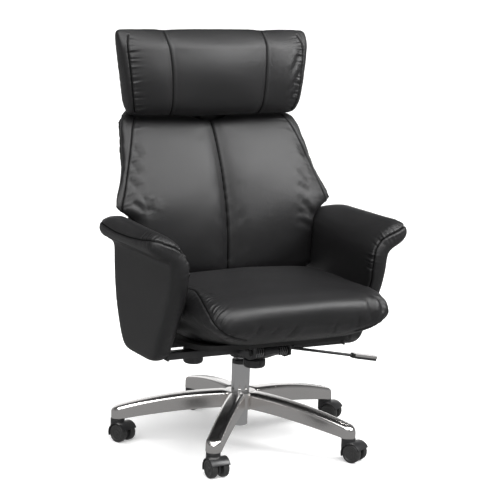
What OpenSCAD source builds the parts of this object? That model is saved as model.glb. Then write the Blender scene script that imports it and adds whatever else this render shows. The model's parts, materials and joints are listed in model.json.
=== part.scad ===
// High-back reclining swivel chair: upholstered seat, back, headrest and two arms on a
// tilting mechanism, a gas column and a five-leg base with twin-wheel casters.
// Millimetres, +Z up. The origin lies on the floor under the column. The sitter faces -Y,
// and +X is at the sitter's left.

/* [Base] */
// Distance from the column's axis to the end of a leg
base_r = 350; // [310:5:380]
// Width of a leg at its root
leg_w = 48; // [42:1:54]
// Width of a leg at its tip
leg_tip_w = 42; // [36:1:46]
// Depth of a leg at its tip
leg_tip_h = 30; // [26:1:36]
// Depth of a leg at its root
leg_root_h = 46; // [40:1:56]
// How far the hub's top stands above the tips' tops
base_rise = 51; // [35:1:70]
// Rounded bevel along the top edges of a leg
leg_bevel = 11; // [6:0.5:14]
// Radius of the hub that holds the column
hub_r = 42; // [41:0.5:46]
// Turn of the first leg from +X, in degrees
base_turn = 87; // [0:1:90]

/* [Casters] */
// Diameter of a caster wheel
wheel_d = 50; // [44:1:56]
// Width of one wheel of the pair
wheel_w = 17; // [14:0.5:19]
// Space between the two wheels of a caster
wheel_gap = 17; // [16.5:0.5:20]
// Height from the top of a wheel to the leg's underside
caster_head = 10; // [7:0.5:14]
// Distance from the swivel axis back to the wheels' axle
caster_trail = 20; // [17:0.5:23]
// Distance from the end of a leg back to the swivel axis
stem_inset = 18; // [16:0.5:22]
// Diameter of the stem where it stands in the leg
stem_d = 11; // [10:0.5:12]
// Diameter of the stem where the caster turns on it
stem_pin_d = 8; // [7:0.5:9]
// Length of the stem inside the leg
stem_grip = 20; // [15:1:24]
// Diameter of the wheels' axle
axle_d = 6; // [5:0.5:8]
// Thickness of the hood over the wheels
hood_t = 2.5; // [2:0.25:3.5]
// Direction in which the casters trail at rest, in degrees from +X
caster_heading = -68; // [-180:1:180]

/* [Column] */
// Outer diameter of the column's sleeve
sleeve_d = 50; // [46:1:54]
// Wall of the sleeve
sleeve_wall = 2.5; // [2:0.25:4]
// Height of the sleeve above the hub
sleeve_rise = 74; // [50:1:120]
// Length of the sleeve's narrower tail below the hub
sleeve_tail = 52; // [30:1:56]
// Height of the black collar on the sleeve
collar_h = 12; // [8:1:18]
// Outer diameter of the piston tube
piston_d = 28; // [26:0.5:30]
// Bright length of the piston that shows at the lowest setting
piston_show = 8; // [4:1:30]
// Length of the piston inside the sleeve
piston_depth = 140; // [125:5:150]

/* [Mechanism] */
// Height of the housing where it grips the piston
grip_h = 24; // [22:1:28]
// Room over the housing into which the seat tilts
tilt_room = 29; // [28:1:34]
// Distance from the column forward to the tilt pivot
pivot_fwd = 160; // [150:1:180]
// Depth of the tilt pivot below the seat board's flat part
pivot_drop = 4; // [2:0.5:10]
// Width of the housing's nose
nose_w = 42; // [36:1:46]
// Diameter of the tilt pin
pin_d = 12; // [10:0.5:13]
// Diameter of the tension knob
knob_d = 60; // [50:1:66]
// Height of the tension knob
knob_h = 25; // [22:1:30]
// Distance from the column forward to the knob
knob_fwd = 75; // [70:1:85]
// Mean diameter of the tilt spring's curls
spring_d = 26; // [24:0.5:28]
// Diameter of the tilt spring's wire
spring_wire = 3; // [2:0.25:3.5]
// Curls of the tilt spring on each side of the nose
spring_curls = 4; // [3:1:5]
// Distance between the inner faces of the two seat rails
rail_gap = 100; // [96:1:110]
// Thickness of the rails' steel
rail_t = 5; // [4:0.5:6]
// Width of the rails' top flange
flange_w = 30; // [24:1:36]

/* [Seat] */
// Width of the seat cushion
seat_w = 524; // [480:2:526]
// Distance from the column forward to the seat's front
seat_fwd = 358; // [330:2:380]
// Distance from the column back to the cushion's rear edge
seat_back = 72; // [64:1:73]
// Thickness of the seat cushion over the board's flat part
seat_t = 168; // [150:1:172]
// Rise of the cushion's middle over its edges
seat_crown = 14; // [6:1:18]
// Thickness of the seat board
board_t = 14; // [10:1:18]
// How far the board stays inside the cushion at the sides
board_inset = 60; // [50:1:70]
// Rise of the board's front edge over its flat part
board_rise = 40; // [25:1:50]

/* [Armrests] */
// Distance from the middle to the inner face of an arm
arm_in = 268; // [266:1:280]
// Thickness of an arm's upright part
arm_t = 49; // [42:1:54]
// How far the rolled rim stands out past the upright part
arm_flare = 59; // [40:1:66]
// Height of the arm from its lowest point to its top
arm_h = 364; // [350:2:370]
// Height of the arm's lowest point over the floor
arm_low = 258; // [254:1:260]
// Distance from the column forward to the arm's front
arm_fwd = 228; // [200:2:240]
// Distance from the column back to the arm's rear
arm_back = 165; // [150:1:168]

/* [Back] */
// Height of the back cushion's lowest point over the floor
back_low = 432; // [425:1:440]
// Height of the back cushion from its lowest point to its top
back_h = 432; // [430:1:445]
// Half the width of the back where it passes between the arms
back_half = 262; // [240:1:263]
// Half the width of the back at its widest, over the arms
wing_half = 322; // [290:1:326]
// Depth of the sewn groove down the middle
groove_depth = 24; // [12:1:30]
// Thickness of the back cushion at its fullest
back_t = 90; // [80:1:94]
// Distance from the column back to the foot of the cushion's rear face
back_foot = 136; // [132:1:140]
// Thickness of the back board
back_board_t = 10; // [8:1:12]
// Thickness of the upholstered rear cover
cover_t = 13; // [8:1:15]
// Distance from the column back to the recline shaft
shaft_back = 140; // [136:1:146]
// Height of the recline shaft over the seat board's flat part
shaft_rise = 12; // [8:1:16]
// Diameter of the recline shaft
shaft_d = 16; // [14:0.5:18]
// Thickness of the bracket that carries the back
bracket_t = 8; // [6:0.5:10]
// Width of the bracket that carries the back
bracket_w = 84; // [70:1:90]

/* [Headrest] */
// Width of the headrest at its top
head_w = 564; // [500:2:570]
// Height of the headrest
head_h = 224; // [200:2:240]
// Thickness of the headrest
head_t = 103; // [96:1:105]
// Gap between the back's top and the headrest's underside
head_gap = 4; // [3:0.5:8]
// Distance from the column back to the headrest's tilt axis
head_axis_back = 219; // [215:1:222]
// Width of the sliding steel strap
strap_w = 50; // [40:1:56]
// Thickness of the sliding steel strap
strap_t = 5; // [4:0.5:6]
// Diameter of the bar inside the headrest
bar_d = 12; // [10:0.5:14]

/* [Lever] */
// Diameter of the lever's rod
rod_d = 8; // [6:0.5:10]
// Reach of the lever's end from the middle
lever_reach = 356; // [330:2:370]
// Length of the grip
grip_l = 78; // [60:1:90]
// Width of the grip at its widest
grip_w = 26; // [20:1:30]
// Thickness of the grip
grip_t = 13; // [11:0.5:15]

/* [Hidden] */

// Clearances: pins and sliding fits, faces that lie against each other, overrun of a cut
fit = 0.05;
seat_fit = 0.3;
cut = 1;
fine = 64;

// Base and casters
legs = 5;
leg_step = 360 / legs;
tip_z = wheel_d + caster_head;
hub_top = tip_z + leg_tip_h + base_rise;
hub_low = hub_top - leg_root_h;
stem_r = base_r - stem_inset;
hub_shoulder = 2.5;
hub_lip = 3;
leg_fall_share = 2.06;
leg_under_share = 1.5;
leg_reach_shares = [1, 0.992, 0.975, 0.95, 0.91, 0.84, 0.75, 0.65, 0.54, 0.43, 0.32, 0.2, 0.06];
tip_dip_share = 0.8;
tip_flat_share = 0.02;
bevel_share = 0.3;
bevel_most_share = 0.8;
web_t = 7;
neck_r = 19;
neck_low = 30;
pin_depth = 38;
caster_swings = [0, 0, -20, 8, 15];
hood_gap = 1;
hood_over = 2;
hood_w = wheel_gap + 2 * wheel_w + hood_over;
wheel_edge = 3;
wheel_dish = 1.5;
dish_share = 0.72;
cap_share = 0.3;
hood_from = 25;
hood_to = 200;
hood_steps = 5;

// Column
sleeve_r = sleeve_d / 2;
tail_r = sleeve_r - sleeve_wall;
sleeve_low = hub_low - sleeve_tail;
sleeve_top = hub_top + sleeve_rise;
tail_floor = 4;
collar_top = sleeve_top + collar_h;
collar_depth = 26;
mech_z = collar_top + piston_show;
mech_top = mech_z + grip_h;
piston_r = piston_d / 2;
piston_wall = 3;
rod_r = 4;
rod_top_gap = 10;

// Seat board, cushion and mechanism
seat_z = mech_top + tilt_room;
board_short = 80;
board_behind = 8;
board_front = seat_fwd - board_short;
board_back = seat_back + board_behind;
board_half = seat_w / 2 - board_inset;
board_corner = 80;
board_flat = 20;
board_curve_share = 1.7;
board_steps = 14;
board_steps_rear = 2;
function board_under(y) = seat_z + (y > -board_flat ? 0
    : board_rise * pow((-board_flat - y) / (board_front - board_flat), board_curve_share));
pivot_y = -pivot_fwd;
pivot_z = seat_z - pivot_drop;
pin_r = pin_d / 2;
ear_r = 12;
grip_r = 30;
nose_low_back = 12;
knob_round = 8;
knob_stem_r = 5;
knob_ribs = 12;
knob_rib_r = 3;
rail_x = rail_gap / 2;
rail_drop = 26;
shaft_z = seat_z + shaft_rise;
shaft_r = shaft_d / 2;
shaft_ear = 15;
shaft_head = 4;
bolt_r = 3;
bolt_head_r = 6;
bolt_head_h = 4;
bolt_bite = 10;

// Arm bars under the seat
bar_w = 35;
bar_h = 18;
bar_wall = 3;
bar_end = arm_in - seat_fit;
plate_t = 5;
plate_w = 56;
plate_h = 40;
plate_hole = 18;
arm_bolt_bite = 14;
bar_fwd = 70;
bar_rear = 50;
bar_mids = [-bar_fwd, bar_rear];

// Armrest sections as shares: height; inner face at the rear and at the front; outer face;
// front; rear; outer rear corner; other corners
arm_rows_shares = [
    [0.000, 0.36, 0.36, 0.60, 0.22, 0.42, 0.20, 0.20], [0.011, 0.16, 0.16, 0.76, 0.33, 0.53, 0.34, 0.30],
    [0.032, 0.05, 0.05, 0.86, 0.43, 0.61, 0.42, 0.36], [0.073, 0.00, 0.00, 0.90, 0.52, 0.69, 0.46, 0.42],
    [0.140, 0.00, 0.00, 0.92, 0.583, 0.77, 0.50, 0.44], [0.242, 0.00, 0.00, 0.95, 0.685, 0.85, 0.50, 0.46],
    [0.363, 0.00, 0.00, 0.98, 0.80, 0.91, 0.50, 0.48], [0.516, 0.00, 0.00, 1.00, 0.917, 0.965, 0.50, 0.48],
    [0.629, 0.00, 0.00, 1.00, 0.974, 0.99, 0.50, 0.48], [0.720, 0.00, 0.00, 1.00, 0.996, 1.00, 0.50, 0.48],
    [0.772, 0.00, 0.04, 1.05, 1.00, 1.00, 0.56, 0.48], [0.801, 0.00, 0.10, 1.28, 1.00, 1.00, 0.80, 0.52],
    [0.828, 0.02, 0.19, 1.62, 1.00, 0.995, 1.20, 0.56], [0.860, 0.05, 0.32, 1.88, 1.00, 0.98, 1.42, 0.60],
    [0.898, 0.13, 0.50, 2.00, 1.00, 0.955, 1.48, 0.62], [0.930, 0.28, 0.74, 1.98, 0.99, 0.92, 1.35, 0.56],
    [0.954, 0.50, 0.98, 1.90, 0.965, 0.86, 1.10, 0.44], [0.973, 0.78, 1.22, 1.79, 0.925, 0.75, 0.76, 0.30],
    [0.989, 1.08, 1.42, 1.68, 0.855, 0.60, 0.40, 0.20], [1.000, 1.34, 1.54, 1.58, 0.75, 0.40, 0.12, 0.10]];
arm_most_share = 0.46;
arm_corner_steps = 5;

// Back: its rear face, then rows of shares: height, width, wing, thickness
back_kink = 0.55;
back_lean = 17.5;
back_bend_share = 1.6;
back_belly = 56;
back_kink_z = back_low + back_kink * back_h;
function back_rear(z) = z > back_kink_z
    ? back_foot + back_belly + (z - back_kink_z) * tan(back_lean)
    : back_foot + back_belly * pow(max(z - back_low, 0) / (back_kink_z - back_low), back_bend_share);
back_rows_shares = [
    [0.000, 0.840, 0.00, 0.20], [0.012, 0.930, 0.00, 0.42], [0.042, 0.985, 0.00, 0.58],
    [0.094, 1.000, 0.00, 0.66], [0.177, 1.000, 0.00, 0.73], [0.271, 1.000, 0.00, 0.80],
    [0.340, 1.000, 0.00, 0.86], [0.370, 1.000, 0.10, 0.88], [0.398, 1.000, 0.24, 0.90],
    [0.419, 1.000, 0.42, 0.915], [0.433, 1.000, 0.64, 0.925], [0.445, 1.000, 0.86, 0.93],
    [0.460, 1.000, 0.98, 0.94], [0.485, 1.000, 1.00, 0.95], [0.515, 1.000, 0.95, 0.96],
    [0.555, 1.000, 0.84, 0.96], [0.600, 1.000, 0.67, 0.95], [0.655, 1.000, 0.48, 0.93],
    [0.720, 1.000, 0.34, 0.88], [0.790, 1.000, 0.24, 0.80], [0.855, 1.000, 0.17, 0.72],
    [0.905, 1.000, 0.11, 0.63], [0.947, 0.995, 0.05, 0.54], [0.975, 0.985, 0.00, 0.43],
    [0.993, 0.965, 0.00, 0.31], [1.000, 0.940, 0.00, 0.22]];
back_front_shares = [0, 0.035, 0.075, 0.13, 0.25, 0.42, 0.6, 0.76, 0.87, 0.94, 0.98];
back_roll_share = 5.5;
back_waist_share = 0.27;
back_turn_share = 0.35;
back_turn_depth_share = 0.45;
back_rear_wing_share = 0.15;
rim_share = 0.12;
back_rim_share = 0.96;
back_flat_share = 0.85;
groove_reach = 17;
channel_half = 42;
channel_depth = 18;
channel_l = 162;
back_top = back_low + back_h;
panel_rise = 18;
board_low_gap = 6;
cover_in = back_board_t + 2 * seat_fit;
cover_out = cover_in + cover_t;
panel_steps = 12;
panel_half_share = 1.0;
panel_corner = 16;
bracket_rise = 190;
bracket_steps = 8;
hub_tube_r = 14;
bracket_bolts = [70, 150];
bracket_bolt_x = 28;

// Headrest: its axis, the line along which the strap slides, and the strap
head_z = back_top + head_gap;
roll_r = head_t / 2;
axis_z = head_z + roll_r;
head_top = head_z + head_h;
head_half = head_w / 2;
head_taper = 34;
head_crown = 8;
head_crown_share = 2.2;
head_front_roll = 40;
head_rear_roll = 24;
head_end_roll = 17;
head_top_roll = 16;
head_seam_share = 0.5;
head_seam_depth = 5;
head_seam_reach = 7;
head_x_shares = [0, 0.12, 0.26, 0.38, 0.46, 0.488, 0.5, 0.512, 0.54, 0.66, 0.79, 0.88, 0.94, 0.97, 0.99, 1];
head_roll_steps = 4;
head_corner_steps = 4;
barrel_r = 10;
keyhole_gap = 2;
keyhole_side = 3;
keyhole_half = strap_w / 2 + keyhole_side;
keyhole_from = 44;
keyhole_to = 112;
bar_half = 120;
strap_off = 7;
strap_tail = 150;
strap_bend_gap = 3;
guide_wall = 4;
guide_h = 90;
guide_top_gap = 14;

// Seat cushion section
nose_share = 0.62;
nose_top_reach = 92;
nose_low_reach = 64;
seat_lip = 4;
seat_rear_r = 26;
seat_end_front = 60;
seat_end_top = 36;
seat_end_low = 70;
seat_end_rear = 18;
seat_draw = 5;
seat_x_shares = [0, 0.18, 0.36, 0.52, 0.64, 0.74, 0.82, 0.88, 0.93, 0.965, 0.99, 1];
seat_quarter_steps = 6;
seat_flat_steps = 5;

// Recline lock under the board
lock_x = -158;
lock_y = -25;
lock_r = 27;
lock_h = 30;
lock_box = 46;
lock_round = 9;

// Lever at the sitter's left
lever_y = -118;
lever_drop = 11;
socket_off = 14;
socket_clear = 3.2;
socket_x = rail_x + rail_t + socket_off;
socket_r = 8;
socket_l = 20;
lever_z = board_under(lever_y) - rail_t - socket_r - socket_clear;
rod_clear = 2;
rod_start = rail_x + rail_t + rod_clear;
grip_start = lever_reach - grip_l;
grip_bore = 14;
insert_t = 2;
insert_inset = 4;

// Shapes shared by the sub-parts

function roll(a, w, r) = a <= w - r ? 0 : r - sqrt(max(0, r * r - pow(a - w + r, 2)));
function centre(ring) = [for (i = [0 : 2]) [for (p = ring) p[i]] * [for (p = ring) 1 / len(ring)]];
function flat(lists) = [for (l = lists, p = l) p];

// A closed skin through rings of equally many points, with a fan over each end
module loft(rings)
{
    n = len(rings[0]);
    m = len(rings);
    first = n * m;
    polyhedron(
        points = concat(flat(rings), [centre(rings[0]), centre(rings[m - 1])]),
        faces = concat(
            [for (i = [0 : m - 2], j = [0 : n - 1], k = [0, 1])
                let (a = i * n + j, b = i * n + (j + 1) % n)
                k == 0 ? [a, b, b + n] : [a, b + n, a + n]],
            [for (j = [0 : n - 1]) [first, (j + 1) % n, j]],
            [for (j = [0 : n - 1]) [first + 1, first - n + j, first - n + (j + 1) % n]]));
}

// The same skin for level rings that turn left, from the lowest to the highest
module stack(rings)
{
    loft([for (i = [len(rings) - 1 : -1 : 0]) rings[i]]);
}

function quarter(c, r, from, to, steps) = [for (i = [0 : steps])
    let (a = from + (to - from) * i / steps) [c[0] + r[0] * cos(a), c[1] + r[1] * sin(a)]];

// A closed strip: points along a curve and back along the same curve, thick apart
function strip(near, far) = concat(near, [for (i = [len(far) - 1 : -1 : 0]) far[i]]);

// Extrude a profile drawn in Y and Z along X, between two places
module along_x(x0, x1)
{
    translate([x0, 0, 0])
        rotate([90, 0, 90])
        linear_extrude(x1 - x0)
        children();
}

module pin_x(r, x0, x1)
{
    translate([x0, 0, 0])
        rotate([0, 90, 0])
        cylinder(r = r, h = x1 - x0, $fn = fine);
}

module round_box(size, r)
{
    linear_extrude(size[2])
        union() {
            translate([r - size[0] / 2, -size[1] / 2]) square([size[0] - 2 * r, size[1]]);
            translate([-size[0] / 2, r - size[1] / 2]) square([size[0], size[1] - 2 * r]);
            for (x = [-1, 1], y = [-1, 1])
                translate([x * (size[0] / 2 - r), y * (size[1] / 2 - r)]) circle(r, $fn = fine);
        }
}

// Base: five arched legs from one hub

function leg_top(r) = hub_top - base_rise * pow(r / base_r, leg_fall_share);
function leg_under(r) = hub_low + (tip_z - hub_low)
    * pow(max(r - hub_r, 0) / (stem_r - hub_r), leg_under_share);
function leg_half(r) = (leg_w + (leg_tip_w - leg_w) * r / base_r) / 2;

// The end of a leg is a half round in plan, and its top edge is rounded down
function leg_ring(r) = let (
        round_r = leg_tip_w / 2,
        a = max(r - (base_r - round_r), 0) / round_r,
        h = leg_half(r) * sqrt(max(1 - a * a, tip_flat_share)),
        dip = leg_bevel * (1 - sqrt(max(1 - a * a, 0))) * tip_dip_share,
        b = min(leg_bevel, h * bevel_most_share),
        c = b * bevel_share,
        top = leg_top(r) - dip,
        low = r > stem_r - stem_d ? tip_z : leg_under(min(r, stem_r)))
    [for (p = [[h, low], [h, top - b], [h - c, top - c], [h - b, top],
               [b - h, top], [c - h, top - c], [-h, top - b], [-h, low]])
        [r, p[0], p[1]]];

module base_star()
{
    color("silver")
    difference() {
        union() {
            for (i = [0 : legs - 1])
                rotate([0, 0, base_turn + i * leg_step])
                loft([for (s = leg_reach_shares) leg_ring(s * base_r)]);
            translate([0, 0, hub_low - hub_lip])
                cylinder(r = hub_r, h = hub_top - hub_low + hub_lip - hub_shoulder, $fn = fine);
        }
        translate([0, 0, hub_low - hub_lip - cut])
            cylinder(r = sleeve_r + fit, h = hub_top - hub_low + hub_lip + 2 * cut, $fn = fine);
        for (i = [0 : legs - 1])
            rotate([0, 0, base_turn + i * leg_step])
            translate([stem_r, 0, tip_z - cut])
            cylinder(r = stem_d / 2 + fit, h = stem_grip + seat_fit + cut, $fn = fine);
    }
}

// Column

module column_sleeve()
{
    color("gainsboro")
    rotate_extrude($fn = fine)
        polygon([
            [rod_r + fit, sleeve_low], [tail_r - sleeve_wall, sleeve_low],
            [tail_r, sleeve_low + sleeve_wall],
            [tail_r, hub_low - tail_floor], [sleeve_r, hub_low], [sleeve_r, sleeve_top],
            [sleeve_r - sleeve_wall, sleeve_top], [sleeve_r - sleeve_wall, hub_low],
            [tail_r - sleeve_wall, hub_low - tail_floor], [tail_r - sleeve_wall, sleeve_low + tail_floor],
            [rod_r + fit, sleeve_low + tail_floor]]);
}

module column_collar()
{
    color("#202020")
    rotate_extrude($fn = fine)
        polygon([
            [piston_r + fit, sleeve_top - collar_depth],
            [sleeve_r - sleeve_wall - fit, sleeve_top - collar_depth],
            [sleeve_r - sleeve_wall - fit, sleeve_top + fit], [sleeve_r - fit, sleeve_top + fit],
            [sleeve_r - fit, collar_top - 2 * fit - collar_h / 4], [sleeve_r - collar_h / 4, collar_top],
            [piston_r + fit, collar_top]]);
}

module column_rod()
{
    color("silver")
    translate([0, 0, sleeve_low])
        cylinder(r = rod_r, h = mech_z - rod_top_gap - sleeve_low, $fn = fine);
}

module gas_piston()
{
    low = mech_top - piston_depth;
    color("gainsboro")
    difference() {
        translate([0, 0, low])
            cylinder(r = piston_r, h = mech_top - low, $fn = fine);
        translate([0, 0, low - cut])
            cylinder(r = piston_r - piston_wall, h = mech_z - low + cut, $fn = fine);
    }
}

// Casters

module at_caster(i)
{
    turn = base_turn + (i - 1) * leg_step;
    translate([stem_r * cos(turn), stem_r * sin(turn), 0])
        rotate([0, 0, caster_heading + caster_swings[i - 1]])
        children();
}

// The pin stands in the leg; the hood turns on its lower end
module caster_stem(i)
{
    color("silver")
    at_caster(i) {
        translate([0, 0, tip_z + fit])
            cylinder(d = stem_d, h = stem_grip, $fn = fine);
        translate([0, 0, tip_z - pin_depth])
            cylinder(d = stem_pin_d, h = pin_depth + cut, $fn = fine);
    }
}

module on_axle(y0, y1, r)
{
    translate([caster_trail, y1, wheel_d / 2])
        rotate([90, 0, 0])
        cylinder(r = r, h = y1 - y0, $fn = fine);
}

module caster_hood(i)
{
    wheel_r = wheel_d / 2;
    shell_r = wheel_r + hood_gap;
    clear = wheel_gap / 2 - seat_fit;
    color("#202020")
    at_caster(i)
    difference() {
        union() {
            translate([0, 0, neck_low])
                cylinder(r = neck_r, h = tip_z - seat_fit - neck_low, $fn = fine);
            on_axle(-web_t / 2, web_t / 2, wheel_r * dish_share);
            intersection() {
                on_axle(-hood_w / 2, hood_w / 2, shell_r + hood_t);
                translate([caster_trail, hood_w / 2 + cut, wheel_r])
                    rotate([90, 0, 0])
                    linear_extrude(hood_w + 2 * cut)
                    polygon(concat([[0, 0]],
                        quarter([0, 0], [wheel_d, wheel_d], hood_from, hood_to, hood_steps)));
            }
        }
        on_axle(clear, hood_w, shell_r);
        on_axle(-hood_w, -clear, shell_r);
        on_axle(-hood_w, hood_w, axle_d / 2 + fit);
        translate([0, 0, tip_z - pin_depth - seat_fit])
            cylinder(r = stem_pin_d / 2 + fit, h = pin_depth + seat_fit + cut, $fn = fine);
    }
}

module caster_axle(i)
{
    reach = wheel_gap / 2 + wheel_w * (1 - cap_share);
    color("silver")
    at_caster(i)
        on_axle(-reach, reach, axle_d / 2);
}

// One wheel: a rounded tread, a dished outer face and a blind bore for the axle
module caster_wheel(i, side)
{
    r = wheel_d / 2;
    bore = axle_d / 2 + fit;
    depth = wheel_w * (1 - cap_share) + seat_fit;
    color("#262626")
    at_caster(i)
        translate([caster_trail, side * wheel_gap / 2, r])
        rotate([-side * 90, 0, 0])
        rotate_extrude($fn = fine)
        polygon([
            [bore, 0], [r - wheel_edge / 2, 0], [r, wheel_edge], [r, wheel_w - wheel_edge],
            [r - wheel_edge / 3, wheel_w - wheel_edge / 3], [r - wheel_edge, wheel_w],
            [r * dish_share, wheel_w], [r * dish_share - wheel_dish, wheel_w - wheel_dish],
            [r * cap_share, wheel_w - wheel_dish], [r * cap_share, wheel_w],
            [0, wheel_w], [0, depth], [bore, depth]]);
}

// Tilting mechanism

module tilt_housing()
{
    half = nose_w / 2;
    top_pts = concat([[-grip_r / 2, mech_top], [-grip_r * 2, mech_top + ear_r / 2]],
        quarter([pivot_y, pivot_z], [ear_r, ear_r], 70, 270, 8));
    low_pts = [[-knob_fwd - knob_d / 2, mech_z + nose_low_back + ear_r / 4],
        [-grip_r - 1.5 * knob_round, mech_z + nose_low_back], [-grip_r / 2, mech_z]];
    color("#2a2a2a")
    difference() {
        union() {
            translate([0, 0, mech_z])
                cylinder(r = grip_r, h = grip_h, $fn = fine);
            along_x(-half, half) polygon(concat(top_pts, low_pts));
        }
        translate([0, 0, mech_z - cut])
            cylinder(r = piston_r + fit, h = grip_h + 2 * cut, $fn = fine);
        translate([0, pivot_y, pivot_z])
            pin_x(pin_r + fit, -half - cut, half + cut);
        translate([0, -knob_fwd, mech_z])
            cylinder(r = knob_stem_r + fit, h = grip_h, $fn = fine);
    }
}

module tilt_pin()
{
    reach = rail_x + rail_t + seat_fit;
    color("silver")
    translate([0, pivot_y, pivot_z]) {
        pin_x(pin_r, -reach - shaft_head, reach + shaft_head);
        for (s = [-1, 1])
            left_or_right(s)
            pin_x(pin_r + shaft_head / 2, reach, reach + shaft_head);
    }
}

// Curls round the pin on both sides of the nose
spring_rings = 8;
spring_sides = 6;
spring_pitch = (rail_x - nose_w / 2 - spring_wire - 2 * seat_fit) / spring_curls;
function coil_at(t) = [t * spring_pitch, spring_d / 2 * cos(360 * t), spring_d / 2 * sin(360 * t)];
function coil_ring(t) = let (c = coil_at(t), out = [0, cos(360 * t), sin(360 * t)],
        tan_v = [spring_pitch / 360 * 180 / PI, -spring_d / 2 * sin(360 * t), spring_d / 2 * cos(360 * t)],
        side = cross(out, tan_v) / norm(cross(out, tan_v)))
    [for (k = [0 : spring_sides - 1]) let (a = 360 * k / spring_sides)
        c + spring_wire / 2 * (cos(a) * out + sin(a) * side)];
echo(least_gap_between_spring_curls = spring_pitch - spring_wire);

module tilt_spring()
{
    steps = spring_curls * spring_rings;
    color("silver")
    translate([0, pivot_y, pivot_z])
        for (s = [0, 1])
            mirror([s, 0, 0])
            translate([nose_w / 2 + spring_wire / 2 + seat_fit, 0, 0])
            loft([for (i = [0 : steps]) coil_ring(i / spring_rings)]);
}

module tension_knob()
{
    top = mech_z + nose_low_back - seat_fit;
    r = knob_d / 2;
    color("#1c1c1c")
    translate([0, -knob_fwd, top - knob_h])
        difference() {
            union() {
                rotate_extrude($fn = fine)
                    polygon(concat([[0, 0]],
                        quarter([r - knob_round, knob_round], [knob_round, knob_round], -90, 0, 4),
                        [[r, knob_h - knob_round / 2], [r - knob_round / 2, knob_h], [0, knob_h]]));
                cylinder(r = knob_stem_r, h = knob_h + nose_low_back, $fn = fine);
            }
            for (i = [0 : knob_ribs - 1])
                rotate([0, 0, i * 360 / knob_ribs])
                translate([r + knob_rib_r / 2, 0, knob_round])
                cylinder(r = knob_rib_r, h = knob_h, $fn = fine);
        }
}

// Seat rails: a web on each side of the housing and a flange under the board

rail_front = pivot_y - 1.4 * ear_r;
bolt_places = [rail_front + 3 * bolt_head_r, (bar_mids[0] + bar_mids[1]) / 2];
flange_mid = rail_x + (rail_t + flange_w) / 2;
module left_or_right(s)
{
    mirror([s > 0 ? 0 : 1, 0, 0])
        children();
}

function spread(from, to, steps) = [for (i = [0 : steps]) from + (to - from) * i / steps];

module seat_rail(s)
{
    ys = spread(rail_front, board_back - seat_fit, board_steps);
    flange_ys = spread(rail_front, board_back - bolt_head_r, board_steps);
    low = seat_z - rail_drop;
    under = [for (y = ys) [y, board_under(y) - seat_fit]];
    ear = quarter([shaft_back, shaft_z], [shaft_ear, shaft_ear], 150, -90, 10);
    difference() {
        union() {
            along_x(rail_x, rail_x + rail_t)
                polygon(concat(under, ear,
                    [[board_back, low], [pivot_y + ear_r, low], [rail_front, low + ear_r]]));
            along_x(rail_x + rail_t / 2, rail_x + flange_w)
                polygon(strip([for (y = flange_ys) [y, board_under(y) - seat_fit]],
                    [for (y = flange_ys) [y, board_under(y) - seat_fit - rail_t]]));
            if (s > 0) lever_ears();
        }
        translate([0, pivot_y, pivot_z]) pin_x(pin_r + fit, rail_x - cut, rail_x + rail_t + cut);
        translate([0, shaft_back, shaft_z]) pin_x(shaft_r + fit, rail_x - cut, rail_x + rail_t + cut);
        for (y = bolt_places)
            translate([flange_mid, y, seat_z - rail_drop])
            cylinder(r = bolt_r + fit, h = 2 * rail_drop, $fn = fine);
    }
}

module seat_rail_left() { color("#303030") seat_rail(1); }
module seat_rail_right() { color("#303030") left_or_right(-1) seat_rail(-1); }

// Arm bars: a square tube from a rail to the plate that the arm is screwed to

bar_top = seat_z - rail_t - 2 * seat_fit;
plate_low = bar_top - bar_h;
arm_bolt_z = plate_low + plate_h - 2 * bolt_head_r;
module arm_bar(y)
{
    from = rail_x + rail_t + fit;
    color("#303030")
    difference() {
        union() {
            translate([from, y - bar_w / 2, bar_top - bar_h])
                difference() {
                    cube([bar_end - plate_t - from, bar_w, bar_h]);
                    translate([-cut, bar_wall, bar_wall])
                        cube([bar_end - from, bar_w - 2 * bar_wall, bar_h - 2 * bar_wall]);
                }
            translate([bar_end - plate_t, y - plate_w / 2, plate_low])
                cube([plate_t, plate_w, plate_h]);
        }
        for (k = [-1, 1])
            translate([0, y + k * plate_hole, arm_bolt_z])
            pin_x(bolt_r + fit, bar_end - plate_t - cut, bar_end + cut);
    }
}

module arm_bar_front_left() { arm_bar(bar_mids[0]); }
module arm_bar_rear_left() { arm_bar(bar_mids[1]); }
module arm_bar_front_right() { left_or_right(-1) arm_bar(bar_mids[0]); }
module arm_bar_rear_right() { left_or_right(-1) arm_bar(bar_mids[1]); }

// Bolts from the flanges up into the board, and from the bars' plates into the arms
module frame_bolts()
{
    seat = bar_end - plate_t - seat_fit;
    color("silver") {
        for (s = [-1, 1], y = bolt_places)
            translate([s * flange_mid, y, board_under(y) - rail_t - 3 * seat_fit - bolt_head_h / 2]) {
                translate([0, 0, -bolt_head_h]) cylinder(r = bolt_head_r, h = bolt_head_h, $fn = fine);
                cylinder(r = bolt_r, h = rail_t + bolt_bite, $fn = fine);
            }
        for (s = [-1, 1], y = bar_mids, k = [-1, 1])
            left_or_right(s)
            translate([0, y + k * plate_hole, arm_bolt_z]) {
                pin_x(bolt_head_r, seat - bolt_head_h, seat);
                pin_x(bolt_r, seat - bolt_head_h / 2, bar_end + arm_bolt_bite);
            }
    }
}

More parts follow.
